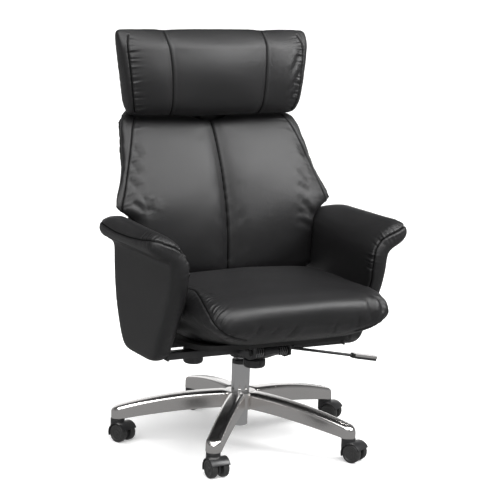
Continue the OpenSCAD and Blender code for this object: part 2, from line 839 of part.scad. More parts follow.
module seat_board()
{
    ys = concat(spread(-board_front, -board_flat, board_steps),
        spread(board_back / 2, board_back, board_steps_rear));
    color("#3a2c20")
    difference() {
        intersection() {
            along_x(-board_half, board_half)
                polygon(strip([for (y = ys) [y, board_under(y)]],
                    [for (y = ys) [y, board_under(y) + board_t]]));
            translate([0, (board_back - board_front) / 2, seat_z - cut])
                round_box([2 * board_half, board_back + board_front, board_rise + board_t + 2 * cut],
                    board_corner);
        }
        for (s = [-1, 1], y = bolt_places)
            translate([s * flange_mid, y, board_under(y) - rail_t])
            cylinder(r = bolt_r + fit, h = rail_t + bolt_bite, $fn = fine);
    }
}

// Seat cushion: one section at each place across its width

function seat_low(y) = board_under(y) + board_t + seat_fit;
function seat_ring(x) = let (
        a = abs(x), w = seat_w / 2,
        top = seat_z + seat_t + seat_crown * (1 - pow(a / w, 2)) - roll(a, w, seat_end_top),
        front = roll(a, w, seat_end_front) - seat_fwd,
        back = seat_back - roll(a, w, seat_end_rear),
        lift = roll(a, w, seat_end_low),
        nose_z = seat_z + nose_share * seat_t,
        low_y = front + nose_low_reach, top_y = front + nose_top_reach,
        low_z = seat_low(low_y) + lift, rear_y = back - seat_rear_r)
    [for (p = concat(
            [[back, seat_low(back) + lift + seat_lip]],
            [for (y = spread(back - seat_lip, low_y, seat_flat_steps)) [y, seat_low(y) + lift]],
            quarter([low_y, nose_z], [nose_low_reach, nose_z - low_z], 255, 180, seat_quarter_steps - 2),
            quarter([top_y, nose_z], [nose_top_reach, top - nose_z], 165, 90, seat_quarter_steps),
            [for (y = spread(top_y, rear_y, seat_flat_steps - 1)) if (y > top_y) [y, top]],
            quarter([rear_y, top - seat_rear_r], [seat_rear_r, seat_rear_r], 60, 0, 2)))
        let (along = (p[0] + seat_fwd) / (seat_back + seat_fwd),
            pull = seat_draw * pow(a / w, 4) * sin(180 * along))
        [x - sign(x) * pull, p[0], p[1]]];

function both_sides(shares) = concat([for (i = [len(shares) - 1 : -1 : 1]) -shares[i]], shares);

module seat_cushion()
{
    color("#1e1e20")
    loft([for (s = both_sides(seat_x_shares)) seat_ring(s * seat_w / 2)]);
}

// Armrests: level sections, narrow at the foot and rolled out at the top

// The point where two sides of a section meet is rounded by an arc between them
function arm_ring(row) = let (
        z = arm_low + row[0] * arm_h,
        in_rear = arm_in + row[1] * arm_t,
        in_front = arm_in + row[2] * arm_t,
        out = arm_in + min(row[3], 1) * arm_t + max(row[3] - 1, 0) * arm_flare,
        front = -arm_fwd * row[4], rear = arm_back * row[5],
        least = arm_most_share * (out - in_front),
        a = min(row[6] * arm_t, out - in_rear - least - seat_fit),
        r = min(row[7] * arm_t, least))
    [for (c = [[out - a, rear - a, a, 0], [in_rear + r, rear - r, r, 90],
               [in_front + r, front + r, r, 180], [out - r, front + r, r, 270]],
          q = quarter([c[0], c[1]], [c[2], c[2]], c[3], c[3] + 90, arm_corner_steps))
        [q[0], q[1], z]];

module armrest_left()
{
    color("#1e1e20")
    stack([for (row = arm_rows_shares) arm_ring(row)]);
}

module armrest_right() { left_or_right(-1) armrest_left(); }

// Housing of the recline lock, under the board at the sitter's right
module recline_lock()
{
    top = seat_z - seat_fit;
    color("#1c1c1c")
    translate([lock_x, lock_y, 0]) {
        translate([0, 0, top - lock_h - lock_box / 2])
            rotate_extrude($fn = fine)
            polygon(concat([[0, 0]],
                quarter([lock_r - lock_round, lock_round], [lock_round, lock_round], -90, 0, 4),
                [[lock_r, lock_h], [0, lock_h]]));
        translate([0, 0, top - lock_box / 2])
            round_box([lock_box, lock_box, lock_box / 2], lock_round);
    }
}

module recline_shaft()
{
    reach = rail_x + rail_t + seat_fit;
    color("silver")
    translate([0, shaft_back, shaft_z]) {
        pin_x(shaft_r, -reach - shaft_head / 2, reach + shaft_head / 2);
        for (s = [-1, 1])
            left_or_right(s)
            pin_x(shaft_r + shaft_head / 2, reach, reach + shaft_head);
    }
}

// Lever: a socket turns in two ears on the left rail, and the rod slides in the socket

ear_t = 3;
ear_gap = socket_r + 2 * seat_fit;
trunnion_r = 3;
module lever_ears()
{
    for (k = [-1, 1])
        translate([0, lever_y + k * (ear_gap + ear_t / 2) + ear_t / 2, 0])
        rotate([90, 0, 0])
        linear_extrude(ear_t)
        difference() {
            polygon([
                [rail_x + rail_t / 2, lever_z - socket_r], [socket_x + socket_r, lever_z - socket_r],
                [socket_x + socket_r, board_under(lever_y) - rail_t],
                [rail_x + rail_t / 2, board_under(lever_y) - rail_t]]);
            translate([socket_x, lever_z]) circle(trunnion_r + fit, $fn = fine);
        }
}

module on_lever()
{
    translate([socket_x, lever_y, lever_z])
        rotate([0, lever_drop, 0])
        children();
}

module lever_socket()
{
    color("#1c1c1c")
    on_lever()
    difference() {
        union() {
            pin_x(socket_r, -socket_l / 2, socket_l / 2);
            rotate([90, 0, 0])
                translate([0, 0, -ear_gap - ear_t])
                cylinder(r = trunnion_r, h = 2 * (ear_gap + ear_t), $fn = fine);
        }
        pin_x(rod_d / 2 + fit, -socket_l, socket_l);
    }
}

lever_cos = cos(lever_drop);
grip_from = (grip_start - socket_x) / lever_cos;
grip_to = (lever_reach - socket_x) / lever_cos;
module lever_rod()
{
    color("#1c1c1c")
    on_lever()
        pin_x(rod_d / 2, (rod_start - socket_x) / lever_cos, grip_from + grip_bore);
}

module grip_plan(inset)
{
    neck = grip_w / 2;
    polygon([
        [grip_from + inset, inset - neck / 2], [grip_from + neck + inset, inset - grip_w / 2],
        [grip_to - neck / 2 - inset, inset - grip_w / 2], [grip_to - inset, inset - grip_w / 2 + neck / 2],
        [grip_to - inset, grip_w / 2 - neck / 2 - inset], [grip_to - neck / 2 - inset, grip_w / 2 - inset],
        [grip_from + neck + inset, grip_w / 2 - inset], [grip_from + inset, neck / 2 - inset]]);
}

module lever_grip()
{
    color("#1c1c1c")
    on_lever()
    difference() {
        translate([0, 0, -grip_t / 2]) linear_extrude(grip_t) grip_plan(0);
        pin_x(rod_d / 2 + fit, grip_from - cut, grip_from + grip_bore + seat_fit);
        translate([0, 0, grip_t / 2 - insert_t]) linear_extrude(insert_t + cut) grip_plan(insert_inset);
    }
}

module lever_insert()
{
    color("silver")
    on_lever()
        translate([0, 0, grip_t / 2 - insert_t + fit])
        linear_extrude(insert_t)
        grip_plan(insert_inset + fit);
}

// Back

function back_rear_half(z) = lookup((z - back_low) / back_h,
    [for (r = back_rows_shares)
        [r[0], back_half * r[1] + (wing_half - back_half) * r[2] * back_rear_wing_share]]);

function back_ring(row) = let (
        z = back_low + row[0] * back_h,
        half = back_half * row[1] + (wing_half - back_half) * row[2],
        t = row[3] * back_t, rear = back_rear(z), front = rear - t,
        mid = front + back_waist_share * t,
        deep = groove_depth * min(t / back_t, 1),
        foot = back_half * row[1] + (half - back_half * row[1]) * back_rear_wing_share,
        side = [for (s = back_front_shares)
            [s * half, front + (mid - front) * pow(s, back_roll_share)
                + deep * exp(-pow(s * half / groove_reach, 2))]],
        turn = [[half, mid],
            [half - back_turn_share * (half - foot), mid + back_turn_depth_share * (rear - mid)],
            [foot, rear - rim_share * t], [foot * back_rim_share, rear - rim_share * t / 4]],
        right = concat(side, turn, [[foot * back_flat_share, rear]]),
        n = len(right))
    concat([for (p = right) [p[0], p[1], z]], [for (i = [n - 1 : -1 : 1]) [-right[i][0], right[i][1], z]]);

// The strap and its guide lie in a channel cut down the cushion's rear face
module back_cushion()
{
    color("#1e1e20")
    difference() {
        stack([for (row = back_rows_shares) back_ring(row)]);
        on_back_top()
            translate([-channel_half, -channel_depth, -channel_l])
            cube([2 * channel_half, 2 * channel_depth, 2 * channel_l]);
    }
}

// A curved panel behind the cushion, from one distance behind its rear face to another
module back_panel(from, to)
{
    low = back_low + board_low_gap;
    high = back_top + panel_rise;
    zs = concat(spread(low, back_kink_z, panel_steps), [high]);
    half = [for (z = spread(low, high, 2 * panel_steps))
        [panel_half_share * back_rear_half(z) - roll(z, high, panel_corner)
            - roll(low - z, 0, panel_corner), z]];
    mirrored = [for (i = [len(half) - 1 : -1 : 0]) [-half[i][0], half[i][1]]];
    difference() {
        intersection() {
            along_x(-wing_half, wing_half)
                polygon(strip([for (z = zs) [back_rear(z) + from, z]],
                    [for (z = zs) [back_rear(z) + to, z]]));
            translate([0, back_foot + 2 * back_h, 0])
                rotate([90, 0, 0])
                linear_extrude(2 * back_h + back_foot)
                polygon(concat(half, mirrored));
        }
        at_back_bolts() cylinder(r = bolt_r + fit, h = 4 * cover_out, center = true, $fn = fine);
    }
}

module back_board() { color("#3a2c20") back_panel(seat_fit, seat_fit + back_board_t); }
module back_cover() { color("#1e1e20") back_panel(cover_in, cover_out); }

function back_slope(z) = atan(back_rear(z + 1) - back_rear(z));
module at_back_bolts()
{
    for (x = [-1, 1], b = bracket_bolts)
        translate([x * bracket_bolt_x, back_rear(back_low + b), back_low + b])
        rotate([-90 - back_slope(back_low + b), 0, 0])
        children();
}

module back_bolts()
{
    seat = cover_out + bracket_t + 3 * seat_fit;
    color("silver")
    at_back_bolts() {
        translate([0, 0, seat]) cylinder(r = bolt_head_r, h = bolt_head_h, $fn = fine);
        translate([0, 0, 2 * seat_fit]) cylinder(r = bolt_r, h = seat, $fn = fine);
    }
}

module back_bracket()
{
    zs = spread(back_low, back_low + bracket_rise, bracket_steps);
    near = [for (z = zs) [back_rear(z) + cover_out + seat_fit, z]];
    far = [for (z = zs) [back_rear(z) + cover_out + seat_fit + bracket_t, z]];
    foot = [[shaft_back - bracket_t / 2, shaft_z + hub_tube_r / 2], [shaft_back + bracket_t, shaft_z]];
    color("#303030")
    difference() {
        union() {
            along_x(-bracket_w / 2, bracket_w / 2)
                polygon(strip(concat([foot[0]], near), concat([foot[1]], far)));
            translate([0, shaft_back, shaft_z])
                pin_x(hub_tube_r, seat_fit - rail_x, rail_x - seat_fit);
        }
        translate([0, shaft_back, shaft_z])
            pin_x(shaft_r + fit, -rail_x - cut, rail_x + cut);
        at_back_bolts() cylinder(r = bolt_r + fit, h = 4 * cover_out, center = true, $fn = fine);
    }
}

// Headrest: the strap slides along the back's rear face and bends forward to the tilt axis

module on_back_top()
{
    translate([0, back_rear(back_top), back_top])
        rotate([-back_lean, 0, 0])
        children();
}

module headrest_guide()
{
    half = strap_w / 2 + seat_fit;
    near = strap_off + strap_t / 2 + seat_fit;
    color("#303030")
    on_back_top()
        translate([0, 0, -guide_top_gap - guide_h])
        difference() {
            translate([-half - guide_wall, -near - guide_wall, 0])
                cube([2 * (half + guide_wall), near + guide_wall - seat_fit, guide_h]);
            translate([-half, -near, -cut])
                cube([2 * half, strap_t + 2 * seat_fit, guide_h + 2 * cut]);
        }
}

axis_v = [head_axis_back - back_rear(back_top), axis_z - back_top];
axis_p = [axis_v[0] * cos(back_lean) - axis_v[1] * sin(back_lean),
    axis_v[0] * sin(back_lean) + axis_v[1] * cos(back_lean)];
function left_of(d) = [-d[1], d[0]];
module headrest_strap()
{
    p0 = [-strap_off, -strap_tail];
    p1 = [-strap_off, strap_bend_gap];
    d2 = (axis_p - p1) / norm(axis_p - p1);
    n1 = left_of([0, 1]);
    n2 = left_of(d2);
    m = (n1 + n2) / (1 + n1 * n2);
    h = strap_t / 2;
    color("silver")
    on_back_top()
    difference() {
        union() {
            along_x(-strap_w / 2, strap_w / 2)
                polygon([p0 + h * n1, p1 + h * m, axis_p + h * n2, axis_p - h * n2, p1 - h * m, p0 - h * n1]);
            translate([0, axis_p[0], axis_p[1]])
                pin_x(barrel_r, -strap_w / 2, strap_w / 2);
        }
        translate([0, axis_p[0], axis_p[1]])
            pin_x(bar_d / 2 + fit, -strap_w, strap_w);
    }
}

module headrest_bar()
{
    color("silver")
    translate([0, head_axis_back, axis_z])
        pin_x(bar_d / 2, -bar_half, bar_half);
}

function head_ring(x) = let (
        a = abs(x), w = head_half, c = head_axis_back,
        seam = head_seam_depth * exp(-pow((a - head_seam_share * w) / head_seam_reach, 2)),
        front = head_crown * pow(a / w, head_crown_share) + roll(a, w, head_end_roll) + seam,
        rear = roll(a, w, head_rear_roll),
        low = roll(a, w, head_rear_roll) + seam / 2,
        top = head_top - roll(a, w, head_top_roll) - seam / 2,
        y0 = c - roll_r + front, y1 = c + roll_r - rear)
    [for (p = concat(
            quarter([c, axis_z], [y1 - c, roll_r - low], 0, -90, head_roll_steps),
            quarter([c, axis_z], [c - y0, roll_r - low], -110, -180, head_roll_steps),
            [for (k = [1 : 3]) [y0, axis_z + (top - head_front_roll - axis_z) * k / 3]],
            quarter([y0 + head_front_roll, top - head_front_roll], [head_front_roll, head_front_roll],
                155, 90, head_corner_steps - 1),
            quarter([y1 - head_rear_roll, top - head_rear_roll], [head_rear_roll, head_rear_roll],
                90, 0, head_corner_steps - 1),
            [[y1, (top + axis_z) / 2]]))
        [x * (1 - head_taper / head_half * (head_top - p[1]) / head_h), p[0], p[1]]];

module headrest_cushion()
{
    reach = 2 * roll_r;
    color("#1e1e20")
    difference() {
        loft([for (s = both_sides(head_x_shares)) head_ring(s * head_half)]);
        translate([0, head_axis_back, axis_z]) {
            pin_x(barrel_r + keyhole_gap, -keyhole_half, keyhole_half);
            along_x(-keyhole_half, keyhole_half)
                polygon([[0, 0], for (a = [keyhole_to, (keyhole_from + keyhole_to) / 2, keyhole_from])
                    reach * [cos(a), -sin(a)]]);
        }
    }
}

base_star();
column_sleeve();
column_collar();
column_rod();
gas_piston();
for (i = [1 : legs]) {
    caster_stem(i);
    caster_hood(i);
    caster_axle(i);
    caster_wheel(i, -1);
    caster_wheel(i, 1);
}
tilt_housing();
tilt_pin();
tilt_spring();
tension_knob();
seat_rail_left();
seat_rail_right();
arm_bar_front_left();
arm_bar_rear_left();
arm_bar_front_right();
arm_bar_rear_right();
seat_board();
seat_cushion();
frame_bolts();
armrest_left();
armrest_right();
recline_lock();
recline_shaft();
lever_socket();
lever_rod();
lever_grip();
lever_insert();
back_bracket();
back_cover();
back_board();
back_cushion();
back_bolts();
headrest_guide();
headrest_strap();
headrest_bar();
headrest_cushion();
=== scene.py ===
"""Looks of a high-back reclining swivel chair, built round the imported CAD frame.

The frame gives every rigid piece its place. The upholstery is made here: each cushion starts
from its solid, is filled by a cloth simulation, and then gets its seams, stitches and puckers.
The arms and the rear cover are firm panels and do without the simulation.
Lengths are in metres, +Z is up, the sitter faces -Y and +X is at the sitter's left.
"""

import json
import logging
import math
from dataclasses import dataclass, field, replace
from enum import Enum
from typing import Sequence

import bmesh
import bpy
import numpy as np
from mathutils import Matrix, Vector

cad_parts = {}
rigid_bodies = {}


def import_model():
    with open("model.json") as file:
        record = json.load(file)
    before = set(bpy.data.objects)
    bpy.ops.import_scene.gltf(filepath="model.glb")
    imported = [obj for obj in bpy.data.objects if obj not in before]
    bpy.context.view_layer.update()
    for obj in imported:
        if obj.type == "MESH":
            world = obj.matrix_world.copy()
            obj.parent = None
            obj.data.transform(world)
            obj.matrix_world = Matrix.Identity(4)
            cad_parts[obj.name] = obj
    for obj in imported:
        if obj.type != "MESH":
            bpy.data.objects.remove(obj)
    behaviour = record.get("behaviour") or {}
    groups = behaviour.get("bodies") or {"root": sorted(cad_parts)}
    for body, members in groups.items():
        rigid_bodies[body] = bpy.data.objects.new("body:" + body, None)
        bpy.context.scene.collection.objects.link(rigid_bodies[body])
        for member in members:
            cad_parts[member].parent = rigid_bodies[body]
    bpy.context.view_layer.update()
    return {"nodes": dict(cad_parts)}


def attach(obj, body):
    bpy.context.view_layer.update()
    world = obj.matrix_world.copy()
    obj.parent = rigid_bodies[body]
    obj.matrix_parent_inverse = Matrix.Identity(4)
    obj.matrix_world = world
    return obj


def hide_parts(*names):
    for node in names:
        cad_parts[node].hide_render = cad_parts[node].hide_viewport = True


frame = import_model()
LOG = logging.getLogger("chair")
Point = tuple[float, float, float]
Colour = tuple[float, float, float]
Socket = bpy.types.NodeSocket
WHITE = (1.0, 1.0, 1.0, 1.0)
# The range from which a wave's starting angle is drawn, a turn in radians.
PHASES = 6.28
# Keeps a length that is divided by from being zero.
TINY = 1e-12


# Bench tools


class Bench:
    """Small tools that select, apply and measure meshes."""

    @staticmethod
    def select_only(obj: bpy.types.Object) -> None:
        """Selects one object alone and makes it active.

        Args:
            obj: The object that the next operator works on.
        """
        for other in bpy.context.view_layer.objects:
            other.select_set(False)
        obj.select_set(True)
        bpy.context.view_layer.objects.active = obj

    @staticmethod
    def apply_modifiers(obj: bpy.types.Object) -> None:
        """Applies every modifier of an object, in order.

        Args:
            obj: The object whose modifiers become part of its mesh.
        """
        Bench.select_only(obj)
        for modifier in list(obj.modifiers):
            bpy.ops.object.modifier_apply(modifier=modifier.name)

    @staticmethod
    def settle(obj: bpy.types.Object) -> None:
        """Moves an object's place into its mesh, so that it sits at the origin, unturned."""
        Bench.select_only(obj)
        bpy.ops.object.transform_apply(location=True, rotation=True, scale=True)

    @staticmethod
    def vectors(obj: bpy.types.Object, kind: str) -> np.ndarray:
        """Reads a vector that every vertex has.

        Args:
            obj: A mesh object.
            kind: The vector's name, "co" for the place or "normal".

        Returns:
            An array of one row for each vertex.
        """
        flat = np.zeros(len(obj.data.vertices) * 3)
        obj.data.vertices.foreach_get(kind, flat)
        return flat.reshape(-1, 3)

    @staticmethod
    def points(obj: bpy.types.Object) -> np.ndarray:
        """The places of an object's vertices, one row for each."""
        return Bench.vectors(obj, "co")

    @staticmethod
    def normals(obj: bpy.types.Object) -> np.ndarray:
        """The normals of an object's vertices, one row for each."""
        return Bench.vectors(obj, "normal")

    @staticmethod
    def place_points(obj: bpy.types.Object, places: np.ndarray) -> None:
        """Writes new places for an object's vertices."""
        obj.data.vertices.foreach_set("co", places.ravel())
        obj.data.update()

    @staticmethod
    def add_object(name: str, data: bpy.types.ID) -> bpy.types.Object:
        """Puts a mesh, a light or a camera into the scene.

        Args:
            name: The new object's name.
            data: What it shows.

        Returns:
            The new object.
        """
        obj = bpy.data.objects.new(name, data)
        bpy.context.scene.collection.objects.link(obj)
        return obj

    @staticmethod
    def copy_of_node(node: str, name: str, joined: float = 1e-6) -> bpy.types.Object:
        """Copies a CAD node's mesh into a new object with its loose triangles joined.

        Args:
            node: The CAD node's name.
            name: The new object's name.
            joined: Distance below which two points become one.

        Returns:
            The new object.
        """
        mesh = frame["nodes"][node].data.copy()
        mesh.name = name
        work = bmesh.new()
        work.from_mesh(mesh)
        bmesh.ops.remove_doubles(work, verts=work.verts, dist=joined)
        for edge in work.edges:
            edge.smooth = True
        work.to_mesh(mesh)
        work.free()
        mesh.materials.clear()
        if mesh.has_custom_normals:
            mesh.attributes.remove(mesh.attributes["custom_normal"])
        return Bench.add_object(name, mesh)

    @staticmethod
    def relax(obj: bpy.types.Object, rounds: int) -> None:
        """Smooths a mesh after the modifiers that it has, and applies them all.

        Args:
            obj: A mesh object.
            rounds: How often each vertex goes halfway to its neighbours' mean.
        """
        smooth = obj.modifiers.new("smooth", "SMOOTH")
        smooth.factor = 0.5
        smooth.iterations = rounds
        Bench.apply_modifiers(obj)

    @staticmethod
    def break_edges(obj: bpy.types.Object, width: float, segments: int, angle_deg: float) -> None:
        """Bevels the edges that are sharper than an angle.

        Args:
            obj: A mesh object.
            width: The bevel's width.
            segments: The bevel's rows of faces.
            angle_deg: The least angle of an edge that is bevelled.
        """
        bevel = obj.modifiers.new("edge", "BEVEL")
        bevel.width = width
        bevel.segments = segments
        bevel.limit_method = "ANGLE"
        bevel.angle_limit = math.radians(angle_deg)
        Bench.apply_modifiers(obj)

    @staticmethod
    def smooth_below(obj: bpy.types.Object, angle_deg: float) -> None:
        """Shades an object smooth but for edges sharper than an angle."""
        Bench.select_only(obj)
        bpy.ops.object.shade_smooth_by_angle(angle=math.radians(angle_deg))

    @staticmethod
    def smooth_all(mesh: bpy.types.Mesh) -> None:
        """Shades a whole mesh smooth."""
        for polygon in mesh.polygons:
            polygon.use_smooth = True

    @staticmethod
    def dress(obj: bpy.types.Object, material: bpy.types.Material) -> None:
        """Gives an object one material in place of all others."""
        obj.data.materials.clear()
        obj.data.materials.append(material)


# Finishes


class NodeTree:
    """A tree of shader nodes that are added one by one."""

    def __init__(self, tree: bpy.types.NodeTree) -> None:
        """Takes over a tree."""
        self.tree = tree

    def feed(self, node: bpy.types.Node, inputs: dict[str | int, object]) -> None:
        """Gives some of a node's inputs a value or a link.

        Args:
            node: The node.
            inputs: For an input's name or number, its value or the socket that feeds it.
        """
        for key, value in inputs.items():
            if isinstance(value, Socket):
                self.tree.links.new(value, node.inputs[key])
            else:
                node.inputs[key].default_value = value

    def node(
        self, kind: str, inputs: dict[str | int, object] | None = None, **settings: object
    ) -> bpy.types.Node:
        """Adds a node.

        Args:
            kind: The node's type name.
            inputs: For an input's name or number, its value or the socket that feeds it.
            **settings: Property names with their values.

        Returns:
            The new node.
        """
        made = self.tree.nodes.new(kind)
        for key, value in settings.items():
            setattr(made, key, value)
        self.feed(made, inputs or {})
        return made


class ShaderGraph(NodeTree):
    """A material whose nodes end in a Principled shader."""

    def __init__(self, name: str) -> None:
        """Makes a material that has only its shader.

        Args:
            name: The material's name.
        """
        self.material = bpy.data.materials.new(name)
        self.material.use_nodes = True
        super().__init__(self.material.node_tree)
        self.tree.nodes.clear()
        self.shader = self.node("ShaderNodeBsdfPrincipled")
        self.node("ShaderNodeOutputMaterial", {"Surface": self.shader.outputs[0]})
        self.places = self.node("ShaderNodeTexCoord").outputs["Object"]

    def finish(self, **inputs: object) -> bpy.types.Material:
        """Feeds the shader's inputs, named with underscores, and hands out the material."""
        self.feed(self.shader, {key.replace("_", " "): value for key, value in inputs.items()})
        return self.material

    def noise(
        self, scale: float, detail: float = 3.0, rough: float = 0.5, vector: Socket | None = None
    ) -> Socket:
        """Adds a noise texture.

        Args:
            scale: Waves in a metre.
            detail: Octaves.
            rough: Strength of the finer octaves.
            vector: Coordinates, or None for plain object coordinates.

        Returns:
            The noise value from 0 to 1.
        """
        inputs = {"Scale": scale, "Detail": detail, "Roughness": rough, "Vector": vector or self.places}
        return self.node("ShaderNodeTexNoise", inputs).outputs["Fac"]

    def stretched(self, scale: Point) -> Socket:
        """Object coordinates multiplied along each axis."""
        return self.node("ShaderNodeMapping", {"Scale": scale, "Vector": self.places}).outputs["Vector"]

    def pebbles(self, size: float, waves: float = 0.7) -> Socket:
        """Adds the cells of a leather or moulded grain.

        Args:
            size: Width of a cell in metres.
            waves: How often the cells bend within a cell's width.

        Returns:
            The distance to the nearest cell edge.
        """
        bend = self.node("ShaderNodeTexNoise", {"Scale": waves / size, "Vector": self.places})
        shift = {0: bend.outputs["Color"], 1: (size, size, size), 2: self.places}
        bent = self.node("ShaderNodeVectorMath", shift, operation="MULTIPLY_ADD")
        inputs = {"Scale": 1.0 / size, "Vector": bent.outputs[0]}
        return self.node("ShaderNodeTexVoronoi", inputs, feature="DISTANCE_TO_EDGE").outputs["Distance"]

    def remap(self, value: Socket, low: float, high: float, end: float = 1.0) -> Socket:
        """Maps a value from 0 to its end onto a range."""
        inputs = {"Value": value, "From Max": end, "To Min": low, "To Max": high}
        return self.node("ShaderNodeMapRange", inputs).outputs["Result"]

    def around(self, value: Socket, middle: float, spread: float) -> Socket:
        """Maps a value from 0 to 1 onto a range around a middle."""
        return self.remap(value, middle - spread, middle + spread)

    def sums(self, first: Socket, second: Socket) -> Socket:
        """Adds two values."""
        return self.node("ShaderNodeMath", {0: first, 1: second}, operation="ADD").outputs[0]

    def blend(self, value: Socket, first: Colour, second: Colour) -> Socket:
        """Goes from one colour to another with a value.

        Args:
            value: From 0 to 1.
            first: Colour at 0.
            second: Colour at 1.

        Returns:
            The mixed colour.
        """
        made = self.node("ShaderNodeValToRGB", {"Fac": value})
        made.color_ramp.elements[0].color = (*first, 1.0)
        made.color_ramp.elements[1].color = (*second, 1.0)
        return made.outputs["Color"]

    def bump(
        self, height: Socket, distance: float, strength: float = 1.0, under: Socket | None = None
    ) -> Socket:
        """Turns a height into a bumped normal.

        Args:
            height: The height from 0 to 1.
            distance: Depth in metres of a height of 1.
            strength: Share of the effect.
            under: A normal that this one adds to.

        Returns:
            The bumped normal.
        """
        inputs = {"Distance": distance, "Strength": strength, "Height": height}
        if under is not None:
            inputs["Normal"] = under
        return self.node("ShaderNodeBump", inputs).outputs["Normal"]


@dataclass(frozen=True)
class Leather:
    """Black leather with a fine pebbled grain, and creases that are rougher, less shiny and darkened with
    painted shade.

    A noise is given as waves in a metre, octaves and strength of the finer ones.
    """

    name: str
    dark: Colour = (0.0062, 0.0061, 0.0066)
    light: Colour = (0.0105, 0.0102, 0.0108)
    # Painted shade: the colour that seam valleys, puckers and folds are darkened towards.
    crease_painted_shade: Colour = (0.0012, 0.0012, 0.0012)
    roughness: float = 0.40
    spread: float = 0.04
    grain: float = 0.0016
    grain_edge: float = 0.18
    grain_depth: float = 0.00018
    fine_depth: float = 0.0003
    soft_depth: float = 0.0007
    specular: float = 0.5
    crease_specular: float = 0.06
    crease_wear: float = 0.3
    cloud: Point = (9.0, 4.0, 0.55)
    mottle: Point = (38.0, 5.0, 0.6)
    soft: Point = (26.0, 3.0, 0.5)
    fine: Point = (140.0, 4.0, 0.6)

    def build(self) -> bpy.types.Material:
        """Makes the leather.

        Returns:
            The material.
        """
        graph = ShaderGraph(self.name)
        # The attribute read here holds painted shade in seam valleys, puckers and folds. It also roughens
        # them and lowers their shine.
        crease_shade_and_wear = graph.node("ShaderNodeAttribute", attribute_name="crease_shade_and_wear").outputs["Fac"]
        plain = graph.blend(graph.noise(*self.cloud), self.dark, self.light)
        tones = {"Fac": crease_shade_and_wear, "Color1": plain, "Color2": (*self.crease_painted_shade, 1.0)}
        mottled = graph.around(graph.noise(*self.mottle), self.roughness, self.spread)
        soft = graph.bump(graph.noise(*self.soft), self.soft_depth, strength=0.5)
        fine = graph.bump(graph.noise(*self.fine), self.fine_depth, strength=0.5, under=soft)
        grain = graph.remap(graph.pebbles(self.grain), 0.0, 1.0, end=self.grain_edge)
        return graph.finish(
            Base_Color=graph.node("ShaderNodeMixRGB", tones).outputs["Color"],
            Roughness=graph.sums(mottled, graph.remap(crease_shade_and_wear, 0.0, self.crease_wear)),
            Specular_IOR_Level=graph.remap(crease_shade_and_wear, self.specular, self.crease_specular),
            Normal=graph.bump(grain, self.grain_depth, strength=0.7, under=fine),
        )


@dataclass(frozen=True)
class Metal:
    """A bare or plated metal with a soft waviness and fine scratches."""

    name: str
    dark: Colour
    light: Colour
    roughness: float
    spread: float = 0.03
    wave: float = 0.0004
    scratch: Point = (40.0, 40.0, 900.0)
    scratch_depth: float = 0.00002
    cloud: Point = (6.0, 3.0, 0.5)
    smudge: Point = (30.0, 5.0, 0.65)
    waviness: Point = (11.0, 1.0, 0.5)

    def build(self) -> bpy.types.Material:
        """Makes the metal.

        Returns:
            The material.
        """
        graph = ShaderGraph(self.name)
        wave = graph.bump(graph.noise(*self.waviness), self.wave, strength=0.6)
        lines = graph.noise(1.0, detail=2.0, vector=graph.stretched(self.scratch))
        return graph.finish(
            Base_Color=graph.blend(graph.noise(*self.cloud), self.dark, self.light),
            Roughness=graph.around(graph.noise(*self.smudge), self.roughness, self.spread),
            Normal=graph.bump(lines, self.scratch_depth, strength=0.5, under=wave),
            Metallic=1.0,
        )


@dataclass(frozen=True)
class Coating:
    """Painted steel or moulded plastic: a dull colour with a fine texture."""

    name: str
    dark: Colour
    light: Colour
    roughness: float
    texture: float
    texture_depth: float
    coat: float = 0.0
    coat_roughness: float = 0.2
    spread: float = 0.06
    cloud: Point = (14.0, 4.0, 0.5)
    mottle: Point = (45.0, 4.0, 0.5)

    def build(self) -> bpy.types.Material:
        """Makes the coating.

        Returns:
            The material.
        """
        graph = ShaderGraph(self.name)
        return graph.finish(
            Base_Color=graph.blend(graph.noise(*self.cloud), self.dark, self.light),
            Roughness=graph.around(graph.noise(*self.mottle), self.roughness, self.spread),
            Normal=graph.bump(graph.noise(self.texture, detail=2.0), self.texture_depth),
            Coat_Weight=self.coat,
            Coat_Roughness=self.coat_roughness,
        )


def grey(tone: float) -> Colour:
    """A neutral colour."""
    return (tone, tone, tone)


BLACKS = ((0.010, 0.010, 0.011), (0.022, 0.022, 0.023))


class Finish(Enum):
    """Every finish of the chair."""

    LEATHER = Leather("leather")
    COVER_LEATHER = Leather("cover_leather", roughness=0.5, grain=0.0019)
    THREAD = Coating("thread", grey(0.007), grey(0.016), 0.6, 2500.0, 0.0001)
    ALUMINIUM = Metal("polished_aluminium", (0.86, 0.84, 0.82), (0.94, 0.92, 0.91), 0.19)
    CHROME = Metal("bright_chrome", (0.82, 0.82, 0.83), grey(0.90), 0.10, spread=0.02, wave=0.0001)
    ZINC = Metal("zinc_steel", (0.34, 0.34, 0.35), (0.5, 0.5, 0.51), 0.34, spread=0.06)
    STEEL = Coating("black_steel", *BLACKS, 0.42, 500.0, 0.00006)
    PLASTIC = Coating("black_plastic", *BLACKS, 0.36, 1100.0, 0.00004, coat=0.1)
    NYLON = Coating("wheel_nylon", grey(0.012), grey(0.03), 0.4, 700.0, 0.00005, coat=0.15)
    # Darker and duller than black steel. On the headrest strap it stands in for the shade in the gap under
    # the headrest, so part of its darkness is painted shade.
    DARK_STEEL_AND_SHADE = Coating("dark_steel_and_painted_shade", grey(0.008), grey(0.014), 0.75, 500.0, 0.00006)
    LINING = Coating("black_lining", grey(0.006), grey(0.012), 0.85, 1600.0, 0.0003)


class Palette:
    """Every finish of the chair, each made once."""

    def __init__(self) -> None:
        """Makes the materials."""
        self.made = {finish: finish.value.build() for finish in Finish}

    def __getitem__(self, finish: Finish) -> bpy.types.Material:
        """Gives a finish's material."""
        return self.made[finish]


# Sewing and creasing


def bell(far: np.ndarray, width: float) -> np.ndarray:
    """A smooth hump, 1 in its middle and next to nothing two widths away."""
    return np.exp(-((far / width) ** 2))


